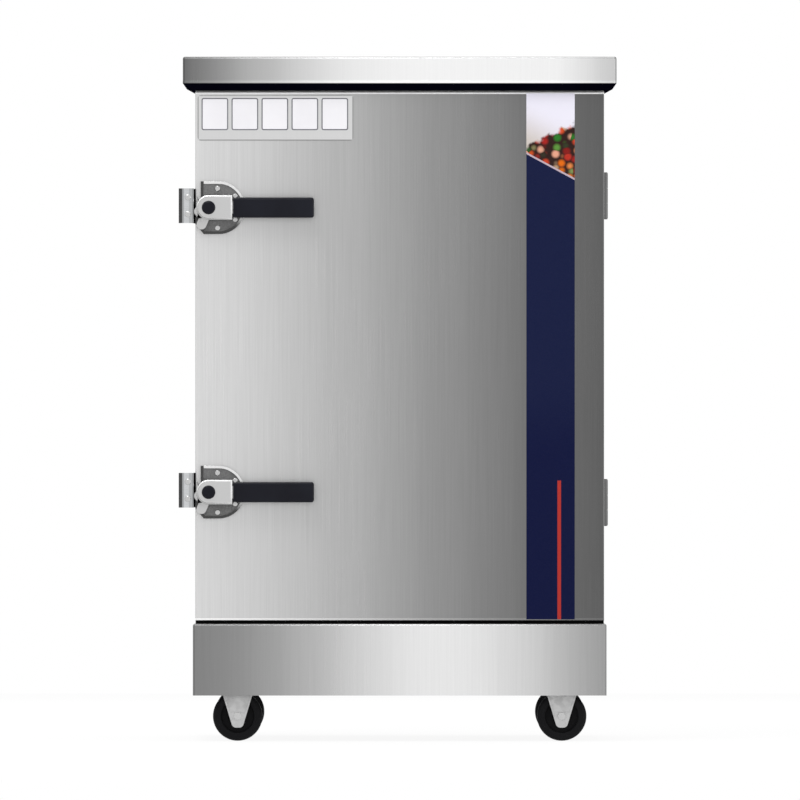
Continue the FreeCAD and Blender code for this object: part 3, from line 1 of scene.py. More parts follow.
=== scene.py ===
# %% [markdown]
# # A single-door steaming cabinet, dressed for its portrait
# The cabinet already exists as a solid model: sixty nodes that came out of a CAD program.
# This lesson gives those nodes their steel, chrome, brass and rubber, and adds the fine
# pieces that a solid model leaves plain, such as sculpted latch heads, moulded grips,
# cast wheels and the framed badge. Everything is in metres, with the floor at z = 0, the
# door facing -Y and the hinges at +X.

import math

import bmesh
import bpy
import mathutils
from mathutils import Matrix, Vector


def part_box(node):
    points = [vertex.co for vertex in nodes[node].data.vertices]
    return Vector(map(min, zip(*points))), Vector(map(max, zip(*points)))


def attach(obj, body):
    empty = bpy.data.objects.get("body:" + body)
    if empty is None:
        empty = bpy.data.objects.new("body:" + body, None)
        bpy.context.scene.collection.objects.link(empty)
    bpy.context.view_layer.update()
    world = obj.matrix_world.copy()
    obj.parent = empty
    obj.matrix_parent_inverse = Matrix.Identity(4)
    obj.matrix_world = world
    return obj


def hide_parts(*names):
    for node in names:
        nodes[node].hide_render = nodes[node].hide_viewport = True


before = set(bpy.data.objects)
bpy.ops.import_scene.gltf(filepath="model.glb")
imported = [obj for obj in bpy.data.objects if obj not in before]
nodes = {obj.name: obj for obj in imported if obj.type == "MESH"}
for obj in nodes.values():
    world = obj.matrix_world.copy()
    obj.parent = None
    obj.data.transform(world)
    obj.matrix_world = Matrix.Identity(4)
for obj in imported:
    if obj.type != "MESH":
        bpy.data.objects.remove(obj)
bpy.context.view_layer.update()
print("nodes loaded:", len(nodes))

# %% [markdown]
# ## Sums on sockets
# A shader is a wiring diagram, and wiring a sum by hand takes many clicks. Here a small
# class wraps one socket, and its operators add the Math node that does the sum. A second
# class holds one material while it grows: a single method adds any node at all, sets its
# settings first and then fills in or links its sockets.

# %% Sockets that do sums
class Socket:
    """One output socket, which can be used in a sum or a comparison."""

    def __init__(self, finish, link):
        self.finish = finish
        self.link = link

    def sum(self, operation, *values):
        inputs = dict(enumerate(values))
        return self.finish.add("ShaderNodeMath", {"operation": operation}, inputs)

    def __add__(self, other):
        return self.sum("ADD", self, other)

    def __sub__(self, other):
        return self.sum("SUBTRACT", self, other)

    def __rsub__(self, other):
        return self.sum("SUBTRACT", other, self)

    def __mul__(self, other):
        return self.sum("MULTIPLY", self, other)

    def __gt__(self, other):
        return self.sum("GREATER_THAN", self, other)

    def __lt__(self, other):
        return self.sum("LESS_THAN", self, other)

    def __abs__(self):
        return self.sum("ABSOLUTE", self)


# %% A material under construction
BAND_CORE = 0.6  # the share of a band's width that has its full strength


class Finish:
    """A material, its main shader and the nodes that feed it."""

    def __init__(self, name, **fixed):
        self.material = bpy.data.materials.new(name)
        self.material.use_nodes = True
        self.tree = self.material.node_tree
        self.shader = self.tree.nodes["Principled BSDF"]
        for socket, value in fixed.items():
            self.shader.inputs[socket.replace("_", " ")].default_value = value
        self.position = self.add("ShaderNodeTexCoord", {}, {}, "Object")
        self.x, self.z = (self.part_of(self.position, axis) for axis in "XZ")

    def add(self, kind, settings, inputs, output=0):
        """Add one node: its settings first, then the values and links of its sockets."""
        node = self.tree.nodes.new(kind)
        for name, value in settings.items():
            if name == "stops":
                self.place_stops(node.color_ramp, value)
            else:
                setattr(node, name, value)
        for key, value in inputs.items():
            if isinstance(value, Socket):
                self.tree.links.new(value.link, node.inputs[key])
            elif node.inputs[key].type == "RGBA":
                node.inputs[key].default_value = (*value, 1.0)
            else:
                node.inputs[key].default_value = value
        return Socket(self, node.outputs[output])

    def place_stops(self, ramp, stops):
        ramp.interpolation = "CARDINAL" if len(stops) > 3 else "LINEAR"
        ramp.elements.remove(ramp.elements[1])
        for index, (position, colour) in enumerate(stops):
            stop = ramp.elements[0] if index == 0 else ramp.elements.new(position)
            stop.position = position
            stop.color = (*colour, 1.0)

    def part_of(self, vector, axis):
        return self.add("ShaderNodeSeparateXYZ", {}, {"Vector": vector}, axis)

    def noise(self, scales, detail=2.0):
        """Noise that is squeezed along each axis by its own scale."""
        squeezed = self.add("ShaderNodeMapping", {}, {"Vector": self.position, "Scale": scales})
        return self.add("ShaderNodeTexNoise", {}, {"Vector": squeezed, "Scale": 1.0,
                                                   "Detail": detail})

    def cells(self, scale, output="Distance"):
        return self.add("ShaderNodeTexVoronoi", {}, {"Vector": self.position, "Scale": scale},
                        output)

    def mix(self, factor, first, second):
        """One colour turning into another as the factor goes from 0 to 1.

        The Mix node has several sockets of one name, so its colours go by number.
        """
        return self.add("ShaderNodeMix", {"data_type": "RGBA"},
                        {0: factor, 6: first, 7: second}, 2)

    def ramp(self, factor, stops):
        return self.add("ShaderNodeValToRGB", {"stops": stops}, {"Fac": factor}, "Color")

    def largest(self, first, *others):
        """The largest of several values."""
        for other in others:
            first = first.sum("MAXIMUM", first, other)
        return first

    def step(self, value, low, high):
        """0 below the low value, 1 above the high one, and a soft rise between them."""
        return self.add("ShaderNodeMapRange", {"interpolation_type": "SMOOTHSTEP"},
                        {"Value": value, "From Min": low, "From Max": high})

    def band(self, value, place, width):
        """1 at the place, and 0 where the value is more than the width away from it."""
        return 1 - self.step(abs(value - place), width * BAND_CORE, width)

    def bump(self, height, strength, distance):
        normal = self.add("ShaderNodeBump", {}, {"Height": height, "Strength": strength,
                                                 "Distance": distance})
        self.feed("Normal", normal)

    def feed(self, socket, value):
        self.tree.links.new(value.link, self.shader.inputs[socket])


def grey(level):
    return (level, level, level)


# %% [markdown]
# ## Brushed stainless steel
# The sheets of such a cabinet are rubbed with an abrasive belt, which leaves fine
# scratches that all run one way. Scratches are long and thin, so noise is squeezed hard
# across them and hardly at all along them. The same noise varies the colour, the
# roughness and a very shallow bump. A bent sheet also mirrors a whole room in one long
# soft sweep from side to side, so each outer sheet carries a painted reflection, a sweep
# of its own in its colour, with stops chosen along the cabinet's width. Its sides and its
# top face mirror other parts of the room: the sides stay at one level, and the top at a
# darker one, a painted shade.

# %% Brushed steel
SHEET_WIDTH = 0.72
GRAIN_ACROSS, GRAIN_ALONG = 1500.0, 7.0
FINE_SHARE, WIDE_SHARE = 0.6, 0.4
# Sides take one plain level, and tops take a darker one, a painted shade
TURNED_LEVEL, UPWARD_SHADE_LEVEL = 0.58, 0.42
TURNED_LIMIT, UPWARD_LIMIT = 0.6, 0.98  # parts of a normal
FOLD_START, FOLD_END = 0.004, 0.05  # how far a fold's normal is from every axis
CLOUD_SHADE = 0.12
GRAIN_ROUGHNESS, CLOUD_ROUGHNESS = 0.14, 0.10
MATT_RISE = 0.0008


def steel_grain(finish, across):
    """Fine scratches, crowded along the axis that is given as 0, 1 or 2."""
    scales = [GRAIN_ALONG] * 3
    scales[across] = GRAIN_ACROSS
    wide = [GRAIN_ALONG / 2] * 3
    wide[across] = GRAIN_ACROSS / 5
    return finish.noise(scales) * FINE_SHARE + finish.noise(wide) * WIDE_SHARE


def painted_sweep_across(finish, sweep, gain=1.0):
    """The levels of a painted reflection sweep, given as (x, level), as a ramp across the
    cabinet's width.
    """
    along = finish.x * (1 / SHEET_WIDTH) + 0.5
    return finish.ramp(along, [(x / SHEET_WIDTH + 0.5, grey(min(level * gain, 1.0)))
                               for x, level in sweep])


def brushed_steel(name, sweep, roughness=0.3, edges=(), contrast=0.3, metallic=1.0, flat=0.0,
                  painted_fold_shade=0.0, painted_fold_highlight=None, matt_above=None):
    """Steel whose colour follows a painted reflection sweep, with bands of painted light.

    With flat at 1, faces that don't look forward or back leave the sweep for one level,
    and those that look up take a darker level of painted shade. The painted fold shade is
    the share by which the round of a fold is darker than the flat. A painted fold highlight
    is a band (z, width, gain) whose sweep is the sheet's times the gain. Above the height
    given as matt, the steel scatters the light of the lamps, so a white band there shows as
    a painted highlight.
    """
    finish = Finish(name, Metallic=metallic)
    normal = finish.add("ShaderNodeTexCoord", {}, {}, "Normal")
    normal_x, normal_y, normal_z = (finish.part_of(normal, axis) for axis in "XYZ")
    sideways = abs(normal_x) > TURNED_LIMIT
    front, side = steel_grain(finish, 0), steel_grain(finish, 1)
    grain = front * (1 - sideways) + side * sideways
    clouds = finish.noise((3.0, 3.0, 2.0), detail=3.0)
    # Painted reflection: a sweep of levels across the width
    colour = painted_sweep_across(finish, sweep)
    # Sides leave the painted sweep for one level, and faces that look up take a painted shade
    colour = finish.mix((abs(normal_y) < TURNED_LIMIT) * flat, colour, grey(TURNED_LEVEL))
    colour = finish.mix((normal_z > UPWARD_LIMIT) * flat, colour, grey(UPWARD_SHADE_LEVEL))
    colour = finish.mix(clouds * CLOUD_SHADE, colour, grey(0.0))
    colour = finish.mix(grain * contrast, colour, grey(0.0))
    # Bands of painted light: each edge band is a painted highlight or a painted shade
    for axis, place, width, level in edges:
        colour = finish.mix(finish.band(getattr(finish, axis), place, width), colour,
                            grey(level))
    # Painted highlight along a fold: the sheet's sweep times a gain
    if painted_fold_highlight:
        place, width, gain = painted_fold_highlight
        colour = finish.mix(finish.band(finish.z, place, width), colour,
                            painted_sweep_across(finish, sweep, gain))
    # Matt above a height, so that a white painted highlight there shows white
    if matt_above:
        matt = finish.step(finish.z, matt_above, matt_above + MATT_RISE)
        finish.feed("Metallic", (1 - matt) * metallic)
    # Painted shade on the round of a fold
    if painted_fold_shade:
        squareness = finish.largest(abs(normal_x), abs(normal_y), abs(normal_z))
        folded = finish.step(1 - squareness, FOLD_START, FOLD_END)
        colour = finish.mix(folded * painted_fold_shade, colour, grey(0.0))
    finish.feed("Base Color", colour)
    finish.feed("Roughness", grain * GRAIN_ROUGHNESS + clouds * CLOUD_ROUGHNESS
                + (roughness - (GRAIN_ROUGHNESS + CLOUD_ROUGHNESS) / 2))
    finish.bump(grain, strength=0.12, distance=0.0002)
    return finish.material


# %% [markdown]
# The painted reflection sweeps: the cover is darkest at its left and brightest right of
# the middle. The door goes the other way, from bright at the latches to dark at the
# hinges, and the base is brightest right of the middle. The lower folds of cover and door
# carry a painted highlight, a little brighter than the sheet beside them, so each is a
# narrow band around its height, with the sheet's own sweep times a gain. The door's top
# fold lies in the cover's shade and carries a painted highlight, matt and white. The round
# folds of cover and base carry painted shade, for the darker part of the room they mirror.
# Their normals give them away, because these look along no single axis.

# %% Steel of the outer sheets
cover_low, cover_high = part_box("top_cover")
door_low, door_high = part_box("door_outer_skin")
base_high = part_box("base_skirt")[1]
# Painted reflection sweep, a painted highlight on the lower fold, painted shade on the round
# folds
steel_cover = brushed_steel(
    "steel_cover",
    [(-0.34, 0.20), (-0.26, 0.43), (-0.19, 0.62), (-0.11, 0.85), (-0.02, 0.98), (0.25, 1.0),
     (0.31, 0.80), (0.34, 0.68)],
    contrast=0.12, flat=1.0, painted_fold_shade=0.42, painted_fold_highlight=(cover_low.z + 0.0022, 0.0028, 1.03))
# Painted reflection sweep; painted highlights as a white band on the top fold and a brighter
# lower fold
steel_door = brushed_steel(
    "steel_door",
    [(-0.32, 0.82), (-0.21, 0.71), (-0.13, 0.59), (-0.05, 0.49), (0.03, 0.38), (0.11, 0.30),
     (0.19, 0.22), (0.32, 0.14)],
    edges=[("z", door_high.z - 0.0012, 0.0022, 1.0)], metallic=0.75, flat=1.0,
    painted_fold_highlight=(door_low.z + 0.0020, 0.0020, 1.18), matt_above=door_high.z - 0.0034)
# Painted reflection sweep, with painted shade on the round folds
steel_base = brushed_steel(
    "steel_base",
    [(-0.33, 0.27), (-0.24, 0.36), (-0.18, 0.47), (-0.10, 0.64), (-0.02, 0.85), (0.07, 0.96),
     (0.16, 0.85), (0.24, 0.65), (0.33, 0.41)],
    contrast=0.2, flat=1.0, painted_fold_shade=0.25)
# A mild painted reflection sweep for the body's sheets
BODY_SWEEP = [(-0.33, 0.55), (0.0, 0.62), (0.33, 0.50)]
steel_panel = brushed_steel("steel_panel", BODY_SWEEP)
# Painted shade: the frame is nearly black in the gap between door and base
steel_frame = brushed_steel("steel_frame", BODY_SWEEP,
                            edges=[("z", base_high.z, 0.0110, 0.006)])
steel_liner = brushed_steel("steel_liner", [(-0.3, 0.62), (0.3, 0.60)], roughness=0.26)
steel_tray = brushed_steel("steel_tray", [(-0.3, 0.72), (0.3, 0.70)], roughness=0.2,
                           contrast=0.12)
steel_rack = brushed_steel("steel_rack", [(-0.3, 0.58), (0.3, 0.56)], contrast=0.18)
print("steel finishes:", len([m for m in bpy.data.materials if m.name.startswith("steel")]))

# %% [markdown]
# ## Chrome, castings and screws
# The latch heads and keepers are plated, so they mirror the room with only a little blur.
# The latch plates are zinc castings with a pebbled skin, which small Voronoi cells give as
# a bump. Galvanised casters have a patchy look, because zinc freezes in grains of slightly
# different greys.

# %% Bright metals
RUB_SCALES = (90.0, 90.0, 600.0)
BEND_HALF = 0.0006
CHROME_TINT = (0.96, 0.98, 1.0)


def plated(name, level, roughness):
    """Chrome with faint polishing marks and a little haze."""
    finish = Finish(name, Metallic=1.0)
    haze = finish.noise((18.0, 18.0, 18.0), detail=3.0)
    rubs = finish.noise(RUB_SCALES)
    finish.feed("Base Color", finish.mix(haze * 0.35, grey(level), grey(level * 0.55)))
    finish.feed("Roughness", haze * 0.12 + rubs * 0.06 + roughness)
    finish.bump(rubs, strength=0.05, distance=0.0002)
    return finish.material


def cast_zinc(name, level):
    """A pebbled casting whose high spots are worn bright."""
    finish = Finish(name, Metallic=0.75)
    pebbles = finish.cells(420.0)
    broad = finish.noise((60.0, 60.0, 60.0), detail=4.0)
    colour = finish.mix(pebbles, grey(level * 1.25), grey(level * 0.6))
    finish.feed("Base Color", finish.mix(broad * 0.6, colour, grey(level * 0.5)))
    finish.feed("Roughness", broad * 0.25 + 0.34)
    finish.bump(1 - pebbles, strength=0.5, distance=0.0004)
    return finish.material


def galvanised(name, level):
    """Zinc plate with its grains and a darker bloom."""
    finish = Finish(name, Metallic=0.9)
    grains = finish.part_of(finish.cells(160.0, "Color"), "X")
    bloom = finish.noise((40.0, 40.0, 40.0), detail=4.0)
    colour = finish.mix(grains * 0.3, grey(level), grey(level * 0.7))
    finish.feed("Base Color", finish.mix(bloom * 0.3, colour, grey(level * 0.45)))
    finish.feed("Roughness", grains * 0.12 + bloom * 0.15 + 0.28)
    finish.bump(bloom, strength=0.08, distance=0.0003)
    return finish.material


def bent_strip(name, stops):
    """Chromed strip with a painted reflection: its bends and flats take their own levels by x.
    """
    finish = Finish(name, Metallic=1.0)
    rubs = finish.noise(RUB_SCALES)
    colour = grey(stops[0][1])
    for place, level in stops[1:]:
        past = finish.step(finish.x, place - BEND_HALF, place + BEND_HALF)
        colour = finish.mix(past, colour, tuple(level * part for part in CHROME_TINT))
    finish.feed("Base Color", finish.mix(rubs * 0.25, colour, grey(0.2)))
    finish.feed("Roughness", rubs * 0.14 + 0.12)
    finish.bump(rubs, strength=0.05, distance=0.0002)
    return finish.material


chrome_head = plated("chrome_head", 0.88, 0.24)
# Painted shade: the cam takes the head's chrome at a darker level
chrome_cam = plated("chrome_cam", 0.62, 0.22)
# Painted reflection and painted shade: a dark return at the left, brighter bends and flats
chrome_keeper = bent_strip("chrome_keeper", [(-0.36, 0.045), (-0.3508, 0.40), (-0.3480, 0.66),
                                             (-0.3400, 0.50), (-0.3345, 0.28)])
chrome_screw = plated("chrome_screw", 0.60, 0.16)
zinc_plate = cast_zinc("zinc_plate", 0.20)
zinc_caster = galvanised("zinc_caster", 0.62)
zinc_channel = galvanised("zinc_channel", 0.40)
steel_hinge = plated("steel_hinge", 0.17, 0.3)

# %% [markdown]
# ## Brass, paint, rubber and plastic
# These are quieter materials, so each gets a base colour that drifts a little, a surface
# that is never equally shiny all over, and a grain at its own scale: orange peel on paint,
# a fine tooth on moulded plastic, and dust in the pores of rubber. The slope under the
# cover is painted shade: a matt, nearly black finish where the cover's shadow lies.

# %% Softer materials
DRIFT_ROUGHNESS, TOOTH_ROUGHNESS = 0.16, 0.08


def moulded(name, colour, worn, roughness, grain=900.0, grain_depth=0.06, metallic=0.0,
            gloss=0.5):
    """A moulded, cast or painted material that shifts between two near colours."""
    finish = Finish(name, Metallic=metallic, Specular_IOR_Level=gloss)
    drift = finish.noise((12.0, 12.0, 12.0), detail=4.0)
    tooth = finish.noise((grain, grain, grain))
    shade = finish.mix(finish.step(drift, 0.35, 0.75), colour, worn)
    finish.feed("Base Color", finish.mix(tooth * 0.2, shade, worn))
    finish.feed("Roughness", drift * DRIFT_ROUGHNESS + tooth * TOOTH_ROUGHNESS
                + (roughness - (DRIFT_ROUGHNESS + TOOTH_ROUGHNESS) / 2))
    finish.bump(tooth, strength=grain_depth, distance=0.0004)
    return finish.material


grip_black = moulded("grip_black", (0.006, 0.006, 0.010), (0.010, 0.011, 0.017), 0.3,
                     grain_depth=0.1, gloss=0.12)
wheel_black = moulded("wheel_black", (0.004, 0.004, 0.005), (0.009, 0.009, 0.010), 0.55,
                      grain_depth=0.2, gloss=0.12)
gasket_grey = moulded("gasket_grey", (0.55, 0.55, 0.52), (0.42, 0.41, 0.38), 0.7)
# Painted shade: the slope under the cover is nearly black and matt
soffit_painted_shade = moulded("soffit_painted_shade", (0.0015, 0.0012, 0.0045), (0.0025, 0.0022, 0.0060), 0.6,
                       gloss=0.0)
wool_yellow = moulded("wool_yellow", (0.62, 0.52, 0.26), (0.48, 0.38, 0.16), 0.9,
                      grain=300.0, grain_depth=0.6)
brass_valve = moulded("brass_valve", (0.72, 0.52, 0.24), (0.52, 0.34, 0.14), 0.34,
                      metallic=1.0)
paint_red = moulded("paint_red", (0.44, 0.022, 0.014), (0.30, 0.015, 0.010), 0.38)
plastic_black = moulded("plastic_black", (0.014, 0.014, 0.014), (0.022, 0.022, 0.022), 0.5)
plastic_ivory = moulded("plastic_ivory", (0.76, 0.74, 0.66), (0.66, 0.63, 0.54), 0.4)
heater_dull = moulded("heater_dull", (0.20, 0.19, 0.18), (0.30, 0.27, 0.23), 0.42,
                      metallic=1.0)

# %% [markdown]
# ## The printed strip
# A printed film runs down the door near the hinges. Its lower part is plain navy with a
# thin red line, and its top is a picture area, cut off by a slanting pale line. The
# picture here is an abstract of my own: pale mist at the top, then a bed of round pebbles
# in warm reds, oranges and a little green. The whole print is masks on x and z, so its
# lines stay sharp at any size.

# %% Printed strip
strip_low, strip_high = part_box("decor_strip")
SLANT_DROP = 0.0419
SLANT_TOP = strip_high.z - 0.0966
SLANT_LINE = 0.0016
STRIPE_LEFT, STRIPE_RIGHT = 0.2546, 0.2604
STRIPE_TOP = 0.421
NAVY_LOW, NAVY_HIGH = (0.0025, 0.0052, 0.040), (0.0058, 0.0098, 0.0465)
NAVY_TURN_LOW, NAVY_TURN_HIGH = 0.45, 0.60
MIST_HEIGHT = 0.09
PEBBLE_SCALE = 82.0
BED_RISE, BED_WOBBLE = 0.078, 0.03
BED_LOW, BED_HIGH = 0.022, 0.030


def printed_strip():
    finish = Finish("printed_strip", Specular_IOR_Level=0.02)
    across = (finish.x - strip_low.x) * (1 / (strip_high.x - strip_low.x))
    above = finish.z - SLANT_TOP + across * SLANT_DROP
    wobble = finish.noise((70.0, 70.0, 70.0), detail=3.0)
    # Pale mist that turns warm towards the pebbles
    mist = finish.mix(finish.step(above, 0.0, MIST_HEIGHT), (0.56, 0.50, 0.44),
                      (0.82, 0.80, 0.90))
    # Pebbles: each cell takes one colour of the ramp and is darker at its rim
    pick = finish.part_of(finish.cells(PEBBLE_SCALE, "Color"), "X")
    rim = finish.cells(PEBBLE_SCALE)
    pebbles = finish.ramp(pick, [(0.0, (0.10, 0.008, 0.006)), (0.3, (0.55, 0.05, 0.02)),
                                 (0.5, (0.80, 0.22, 0.03)), (0.65, (0.72, 0.35, 0.24)),
                                 (0.8, (0.12, 0.28, 0.05)), (1.0, (0.03, 0.02, 0.02))])
    pebbles = finish.mix(finish.step(rim, 0.25, 0.7), pebbles, (0.03, 0.012, 0.01))
    # The bed of pebbles rises to the right, with a ragged edge
    over_bed = finish.step(above + wobble * BED_WOBBLE - across * BED_RISE, BED_LOW, BED_HIGH)
    picture = finish.mix(over_bed, pebbles, mist)
    navy = finish.mix(finish.step(finish.z, NAVY_TURN_LOW, NAVY_TURN_HIGH), NAVY_LOW,
                      NAVY_HIGH)
    colour = finish.mix(above > 0.0, navy, picture)
    colour = finish.mix(abs(above) < SLANT_LINE, colour, (0.50, 0.40, 0.46))
    stripe = (finish.x > STRIPE_LEFT) * (finish.x < STRIPE_RIGHT) * (finish.z < STRIPE_TOP)
    colour = finish.mix(stripe, colour, (0.42, 0.034, 0.026))
    speckle = finish.noise((700.0, 700.0, 700.0))
    finish.feed("Base Color", finish.mix(speckle * 0.04, colour, grey(0.25)))
    finish.feed("Roughness", wobble * 0.12 + 0.24)
    finish.bump(speckle, strength=0.03, distance=0.0002)
    return finish.material


print_film = printed_strip()
badge_low, badge_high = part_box("badge_plate")
BADGE_RIM = 0.0016
# Painted shade: dark bands along the plate's rim, less dark along its top edge
badge_plate = brushed_steel(
    "badge_plate", [(-0.33, 0.74), (0.33, 0.76)], contrast=0.1,
    edges=[("x", badge_low.x, BADGE_RIM, 0.26), ("x", badge_high.x, BADGE_RIM, 0.26),
           ("z", badge_low.z, BADGE_RIM, 0.26), ("z", badge_high.z, BADGE_RIM, 0.34)])
badge_frame = moulded("badge_frame", (0.13, 0.13, 0.15), (0.19, 0.19, 0.21), 0.35,
                      gloss=0.2)
badge_panel = moulded("badge_panel", (0.84, 0.83, 0.86), (0.78, 0.77, 0.80), 0.4)
print("finishes so far:", len(bpy.data.materials))

# %% [markdown]
# ## Dress the solid model
# Every node of the solid model takes one finish in its material slot. The shape of a node
# is never touched here. A table from node to finish keeps this easy to read and to change.

# %% Finish of each node
FINISHES = {
    "top_cover": steel_cover, "cover_soffit": soffit_painted_shade, "back_panel": steel_panel,
    "side_panel_left": steel_panel, "side_panel_right": steel_panel,
    "front_frame": steel_frame, "inner_liner": steel_liner, "body_insulation": wool_yellow,
    "base_skirt": steel_base, "caster_channel_left": zinc_channel,
    "caster_channel_right": zinc_channel, "tray_rack_left": steel_rack,
    "tray_rack_right": steel_rack, "steam_spreader": steel_liner,
    "heating_elements": heater_dull, "heater_nuts": brass_valve,
    "steam_vent_pipe": steel_rack, "balance_pipe": steel_rack, "drain_pipe": steel_rack,
    "drain_valve_body": brass_valve, "drain_valve_lever": paint_red,
    "float_box": steel_panel, "float_box_lid": steel_panel, "float_valve": brass_valve,
    "float_arm": plastic_ivory, "terminal_cover": steel_panel,
    "terminal_block": plastic_ivory, "cable_gland": plastic_black,
    "door_outer_skin": steel_door, "door_inner_skin": steel_liner,
    "door_insulation": wool_yellow, "door_gasket": gasket_grey, "decor_strip": print_film,
    "badge_plate": badge_plate, "latch_base_upper": zinc_plate,
    "latch_base_lower": zinc_plate, "latch_lever_upper": chrome_cam,
    "latch_lever_lower": chrome_cam, "latch_grip_upper": grip_black,
    "latch_grip_lower": grip_black, "keeper_upper": chrome_keeper,
    "keeper_lower": chrome_keeper, "latch_pivots": grip_black,
    "door_fasteners": chrome_screw, "body_fasteners": chrome_screw,
    "hinge_body_leaves": steel_hinge, "hinge_door_leaves": steel_hinge,
    "hinge_pins": steel_hinge, "caster_wheel_front_left": wheel_black,
    "caster_wheel_front_right": wheel_black, "caster_wheel_rear_left": wheel_black,
    "caster_wheel_rear_right": wheel_black, "caster_forks": zinc_caster,
    "caster_fasteners": chrome_screw,
}
FINISHES.update({f"tray_{level}": steel_tray for level in range(1, 7)})
for node, material in FINISHES.items():
    nodes[node].data.materials.clear()
    nodes[node].data.materials.append(material)
print("dressed:", len(FINISHES), "left bare:", sorted(set(nodes) - set(FINISHES)))

# %% [markdown]
# ## Working by hand, in code
# The next helpers do what a modeller does with the mouse: drop the selection, add a box
# from corner to corner, pick faces or edges by where they are, and bevel what is picked.
# A finished piece is told which body of the cabinet it moves with. Its normals are weighted
# by area, so that a wide flat face stays evenly lit beside the small bevels at its edge.

# %% Helpers for modelling
NEAR = 0.0001  # two places closer than this count as one
CORNER_ANGLE = 0.9  # in radians, less than a right angle


def drop_selection():
    for chosen in list(bpy.context.selected_objects):
        chosen.select_set(False)


def work_on(piece):
    """Make the piece the only one that is selected, and the active one."""
    drop_selection()
    piece.select_set(True)
    bpy.context.view_layer.objects.active = piece


def apply_transform():
    bpy.ops.object.transform_apply(location=True, rotation=True, scale=True)


def block(name, low, high):
    """A box from its low corner to its high corner, in edit mode."""
    drop_selection()
    middle = [(a + b) / 2 for a, b in zip(low, high)]
    size = [b - a for a, b in zip(low, high)]
    bpy.ops.mesh.primitive_cube_add(size=1, location=middle)
    piece = bpy.context.object
    piece.name, piece.scale = name, size
    apply_transform()
    bpy.ops.object.mode_set(mode="EDIT")
    return piece


def choose(kind, test):
    """Select the faces, edges or points that pass a test, and nothing else."""
    bpy.ops.mesh.select_mode(type=kind)
    bpy.ops.mesh.select_all(action="DESELECT")
    data = bpy.context.object.data
    mesh = bmesh.from_edit_mesh(data)
    for part in {"FACE": mesh.faces, "EDGE": mesh.edges, "VERT": mesh.verts}[kind]:
        if test(part):
            part.select_set(True)
    bmesh.update_edit_mesh(data)


def facing(axis, sign):
    """A test for faces that look along one axis."""
    return lambda face: face.normal[axis] * sign > 0.9


def running(axis, *tests):
    """A test for edges that run along one axis and whose middle passes the other tests."""
    def test(edge):
        first, last = (corner.co for corner in edge.verts)
        middle = (first + last) / 2
        straight = abs((last - first).normalized()[axis]) > 0.99
        return straight and all(other(middle) for other in tests)
    return test


def is_corner(edge):
    return edge.is_manifold and edge.calc_face_angle() > CORNER_ANGLE


def bevel(width, steps):
    bpy.ops.mesh.bevel(offset=width, segments=steps, affect="EDGES", clamp_overlap=True)


def finish_piece(piece, body, material, stands_for=(), smooth=32):
    """Leave edit mode, smooth, colour and hang the piece on its body.

    Edges that turn by more than the angle given as smooth, in degrees, stay sharp.
    """
    if piece.mode == "EDIT":
        bpy.ops.mesh.select_all(action="SELECT")
        bpy.ops.mesh.normals_make_consistent(inside=False)
        bpy.ops.object.mode_set(mode="OBJECT")
    work_on(piece)
    bpy.ops.object.shade_smooth_by_angle(angle=math.radians(smooth))
    even = piece.modifiers.new("even", "WEIGHTED_NORMAL")
    even.keep_sharp = True
    bpy.ops.object.modifier_apply(modifier=even.name)
    if not piece.data.materials:
        piece.data.materials.append(material)
    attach(piece, body)
    if stands_for:
        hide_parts(*stands_for)
    print(piece.name, len(piece.data.polygons), "faces, on", body)
    return piece


def copy_to(piece, name, shift):
    """A copy with its own mesh, moved by the shift in its mesh."""
    twin = bpy.data.objects.new(name, piece.data.copy())
    bpy.context.collection.objects.link(twin)
    for corner in twin.data.vertices:
        corner.co += mathutils.Vector(shift)
    return twin

# %% [markdown]
# ## Softened edges
# A solid model has perfectly sharp edges, and nothing real does. For castings and folded
# pieces that show, I take a copy of the node, merge its loose triangles, dissolve the flat
# ones into plain faces, and bevel every sharp edge a little. The light then catches the
# edges, as it does on metal. The copy stands in for the node, at the same place and size.

# %% A softened copy of a node
MERGE_DISTANCE = 0.00001
FLAT_ANGLE, SHARP_ANGLE = math.radians(1.0), math.radians(35)
SOFT_STEPS = 2


def soften(node, name, width, pick=None):
    """A merged copy with its sharp edges bevelled, or only the picked ones."""
    piece = bpy.data.objects.new(name, nodes[node].data.copy())
    bpy.context.collection.objects.link(piece)
    work_on(piece)
    bpy.ops.object.mode_set(mode="EDIT")
    bpy.ops.mesh.select_all(action="SELECT")
    bpy.ops.mesh.remove_doubles(threshold=MERGE_DISTANCE)
    bpy.ops.mesh.dissolve_limited(angle_limit=FLAT_ANGLE)
    if pick:
        choose("EDGE", pick)
        bevel(width, SOFT_STEPS)
        bpy.ops.object.mode_set(mode="OBJECT")
        return piece
    bpy.ops.object.mode_set(mode="OBJECT")
    rounding = piece.modifiers.new("rounding", "BEVEL")
    rounding.width, rounding.segments = width, SOFT_STEPS
    rounding.limit_method, rounding.angle_limit = "ANGLE", SHARP_ANGLE
    bpy.ops.object.modifier_apply(modifier=rounding.name)
    return piece

# %% [markdown]
# ## Rotary latches
# Each latch has a cast plate on the door, shaped like a D, with a raised rim. I soften the
# casting and give the rim a second finish of painted light: a painted highlight along its
# top, and painted shade below and at its left.

# %% Cast latch plates
RIM_BAND = 0.0006
PIVOT_X = -0.3082
LATCH_LEVELS = {"upper": 0.8613, "lower": 0.4023}
HIGHLIGHT_TILT, HIGHLIGHT_WAVER = 0.35, 0.004
LEFT_FADE = 0.0012


